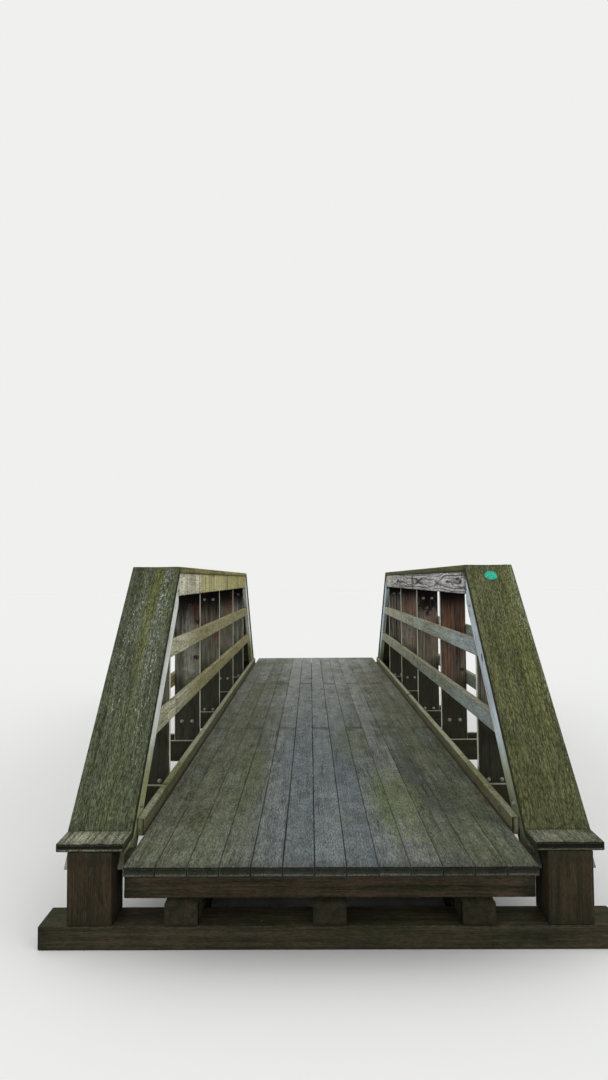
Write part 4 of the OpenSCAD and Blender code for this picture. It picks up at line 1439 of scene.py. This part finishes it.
class FOOTBRIDGE_OT_nails(bpy.types.Operator):
    """Nail heads in the deck, fascias, rails and raking strips"""
    bl_idname = "footbridge.nails"
    bl_label = "Nails"

    def execute(self, context):
        r = context.scene.footbridge_fixing.nail_head / 2
        head = turned([(0, -0.002), (r, -0.002), (r, 0.0004), (r * 0.75, 0.001), (0, 0.0012)], 8)
        chance = np.random.default_rng(77)
        t = context.scene.footbridge_timber
        pitch = (2 * DECK_HIGH.x + t.deck_joint) / t.deck_across
        # two nails in a board at each floor beam and end beam, and how far they stray from their line
        across, stray, end_line, sunk = (0.026, 0.098), 0.012, FOOT_END - 0.095, 0.0026
        lines = [i * BAY + POST_T for i in FRAMES] + [end_line, -end_line]
        deck = [(-DECK_HIGH.x + k * pitch + off, y + chance.uniform(-stray, stray), DECK_HIGH.z - sunk)
                for k in range(t.deck_across) for y in lines for off in across]
        join_shapes("deck_nails", [scatter(head, deck, UP, chance)], "nail_rust")
        set_in, from_end, stray_y, stray_z = 0.0003, 0.03, 0.006, 0.005
        for side in BOTH:
            groups = []
            for inner in (True, False):
                out, x = face_out(side, inner)
                x = x - out * set_in
                for node, rows in NAIL_ROWS.items():
                    low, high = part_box("%s_%s_%s" % (node, NAMES[side], WHERE[inner]))
                    mid, last = (low.z + high.z) / 2, high.y - from_end
                    places = [(x, max(-last, min(last, i * BAY)) + chance.uniform(-stray_y, stray_y),
                               mid + off + chance.uniform(-stray_z, stray_z))
                              for i in FRAMES for off in rows]
                    groups.append((places, (out, 0, 0)))
                groups.append((on_strips(x, STRIP_NAILS), (out, 0, 0)))
            made = [scatter(head, places, axis, chance) for places, axis in groups]
            join_shapes("parapet_nails_" + NAMES[side], made, "nail_rust")
        return {"FINISHED"}


class FOOTBRIDGE_OT_way_mark(bpy.types.Operator):
    """Round way mark on the near right raking cap"""
    bl_idname = "footbridge.way_mark"
    bl_label = "Way mark"

    def execute(self, context):
        low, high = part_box("way_mark")
        out = rake_frame(-1)[1]
        radius, sunk = (high.x - low.x) / 2, 0.001
        profile = [(0, -sunk), (1, -sunk), (1, 0.0008), (0.985, 0.0014), (0.93, 0.0018), (0.8, 0.0019),
                   (0.5, 0.002), (0, 0.002)]
        points, quads = turned(profile, 64)
        q = np.arctan2(points[:, 1], points[:, 0])
        ragged = np.ones(len(q))
        # the edge is eaten away in waves: how deep, how many round it, where they begin
        for deep, waves, begin in ((0.035, 3, 1), (0.03, 7, 0), (0.025, 17, 2)):
            ragged = ragged - deep * np.abs(np.sin(waves * q + begin))
        points = points * np.stack([radius * ragged, radius * ragged, np.ones(len(q))], 1)
        middle = Vector([(a + b) / 2 for a, b in zip(low, high)]) - sunk * out
        moved, numbers = repeat(points, quads, [tuple(middle)], tuple(out), np.zeros(1))
        make_piece("way_mark_disc", moved, numbers, finish("way_mark_paint"), ["way_mark"])
        return {"FINISHED"}


class FOOTBRIDGE_OT_stage(bpy.types.Operator):
    """Camera at the visitor's eye, an even sky, two soft lamps and a pale floor"""
    bl_idname = "footbridge.stage"
    bl_label = "Stage"

    def execute(self, context):
        s = context.scene.footbridge_stage
        scene = context.scene
        scene.view_settings.view_transform = "Standard"
        lens = bpy.data.cameras.new("visitor_camera")
        lens.lens, lens.sensor_width, lens.sensor_fit = s.lens, 36, "AUTO"
        lens.clip_end = 200
        camera = bpy.data.objects.new("visitor_camera", lens)
        scene.collection.objects.link(camera)
        ahead = Vector((math.sin(s.yaw) * math.cos(s.pitch), math.cos(s.yaw) * math.cos(s.pitch),
                        math.sin(s.pitch)))
        level = Vector((math.cos(s.yaw), -math.sin(s.yaw), 0))
        over = level.cross(ahead)
        right = math.cos(s.roll) * level + math.sin(s.roll) * over
        top = -math.sin(s.roll) * level + math.cos(s.roll) * over
        turned_so = Matrix((right, top, -ahead)).transposed().to_4x4()
        camera.matrix_world = Matrix.Translation(s.camera_at) @ turned_so
        scene.camera = camera
        self.lights(scene, s)
        self.floor(scene, s)
        return {"FINISHED"}

    def lights(self, scene, s):
        """Sky light of an even grey day, a little brighter overhead than at the horizon, and two lamps."""
        world = bpy.data.worlds.new("grey_sky")
        world.use_nodes = True
        t = Tree(world.node_tree)
        seen = world.node_tree.nodes["Background"]
        t.put(seen.inputs["Color"], s.backdrop)
        z = t.split(t.node("ShaderNodeTexCoord").outputs["Generated"])[2]
        low, overhead = 0.75, 0.25
        rise = t.sum(low, t.times(t.most(z, 0.0), overhead))
        level = t.times(rise, s.dome / (low + 2 / 3 * overhead))
        sky = t.node("ShaderNodeBackground", {"Color": (0.97, 0.985, 1.0), "Strength": level})
        mixed = t.node("ShaderNodeMixShader", {0: t.unlit_share(), 1: sky.outputs[0], 2: seen.outputs[0]})
        world.node_tree.links.new(mixed.outputs[0], world.node_tree.nodes["World Output"].inputs["Surface"])
        scene.world = world
        soft, warm = math.radians(75), (1.0, 0.985, 0.96)
        for side in BOTH:
            name = "soft_key_" + NAMES[side]
            lamp = bpy.data.lights.new(name, "SUN")
            lamp.energy, lamp.angle, lamp.color = s.key, soft, warm
            key = bpy.data.objects.new(name, lamp)
            comes_from = Vector((side, -0.6, 0.8))
            key.matrix_world = comes_from.to_track_quat("Z", "Y").to_matrix().to_4x4()
            scene.collection.objects.link(key)

    def floor(self, scene, s):
        """A wide floor: the camera sees it pale, the light finds it darker, and it takes the shadow."""
        sides, below = 96, 0.0005
        rings = np.array([3.0, 8.0, 20.0, 45.0, 90.0])[:, None]
        q = np.arange(sides) * 2 * math.pi / sides
        flat = np.stack([rings * np.cos(q), rings * np.sin(q), np.zeros((len(rings), sides))], -1)
        points = np.concatenate([[[0, 0, 0]], flat.reshape(-1, 3)]) + np.array([0, 0, -below])
        number = 1 + np.arange(len(rings) * sides).reshape(-1, sides)
        number = np.concatenate([number, number[:, :1]], 1)
        faces = grid_quads(number, True).tolist()
        rim = number[0].tolist()
        faces += [[first, second, 0] for first, second in zip(rim, rim[1:])]
        material, t, shader = new_material("pale_floor")
        seen = shade(s.backdrop, FLOOR_LIFT)
        t.put(shader.inputs["Base Color"], t.blend(t.unlit_share(), s.floor_bounce, seen))
        shader.inputs["Roughness"].default_value = 0.95
        shader.inputs["Specular IOR Level"].default_value = 0.0
        mesh = bpy.data.meshes.new("pale_floor")
        mesh.from_pydata(points.tolist(), [], faces)
        mesh.materials.append(material)
        floor = bpy.data.objects.new("pale_floor", mesh)
        scene.collection.objects.link(floor)


# Panel and registration

STEPS = (
    FOOTBRIDGE_OT_stage, FOOTBRIDGE_OT_deck, FOOTBRIDGE_OT_edge_boards, FOOTBRIDGE_OT_uprights,
    FOOTBRIDGE_OT_rails, FOOTBRIDGE_OT_fascias, FOOTBRIDGE_OT_strips, FOOTBRIDGE_OT_caps,
    FOOTBRIDGE_OT_floor_frame, FOOTBRIDGE_OT_bolts, FOOTBRIDGE_OT_nails, FOOTBRIDGE_OT_way_mark,
)
SETTINGS = {
    "footbridge_timber": TimberSettings, "footbridge_finish": FinishSettings,
    "footbridge_fixing": FixingSettings, "footbridge_stage": StageSettings,
}


class FOOTBRIDGE_PT_panel(bpy.types.Panel):
    """Lists the bridge's steps and settings"""
    bl_idname = "FOOTBRIDGE_PT_panel"
    bl_label = "Timber Footbridge"
    bl_space_type = "VIEW_3D"
    bl_region_type = "UI"
    bl_category = "Footbridge"

    def draw(self, context):
        for step in STEPS:
            self.layout.operator(step.bl_idname)
        for name, group in SETTINGS.items():
            box = self.layout.box()
            for key in group.__annotations__:
                box.prop(getattr(context.scene, name), key)


def register():
    for group in SETTINGS.values():
        bpy.utils.register_class(group)
    for name, group in SETTINGS.items():
        setattr(bpy.types.Scene, name, bpy.props.PointerProperty(type=group))
    for step in STEPS:
        bpy.utils.register_class(step)
    bpy.utils.register_class(FOOTBRIDGE_PT_panel)


def unregister():
    bpy.utils.unregister_class(FOOTBRIDGE_PT_panel)
    for step in reversed(STEPS):
        bpy.utils.unregister_class(step)
    for name, group in reversed(SETTINGS.items()):
        delattr(bpy.types.Scene, name)
        bpy.utils.unregister_class(group)


def main():
    register()
    bpy.ops.footbridge.stage()
    bpy.ops.footbridge.deck()
    bpy.ops.footbridge.edge_boards()
    bpy.ops.footbridge.uprights()
    bpy.ops.footbridge.rails()
    bpy.ops.footbridge.fascias()
    bpy.ops.footbridge.strips()
    bpy.ops.footbridge.caps()
    bpy.ops.footbridge.floor_frame()
    bpy.ops.footbridge.bolts()
    bpy.ops.footbridge.nails()
    bpy.ops.footbridge.way_mark()


if __name__ == "__main__":
    main()
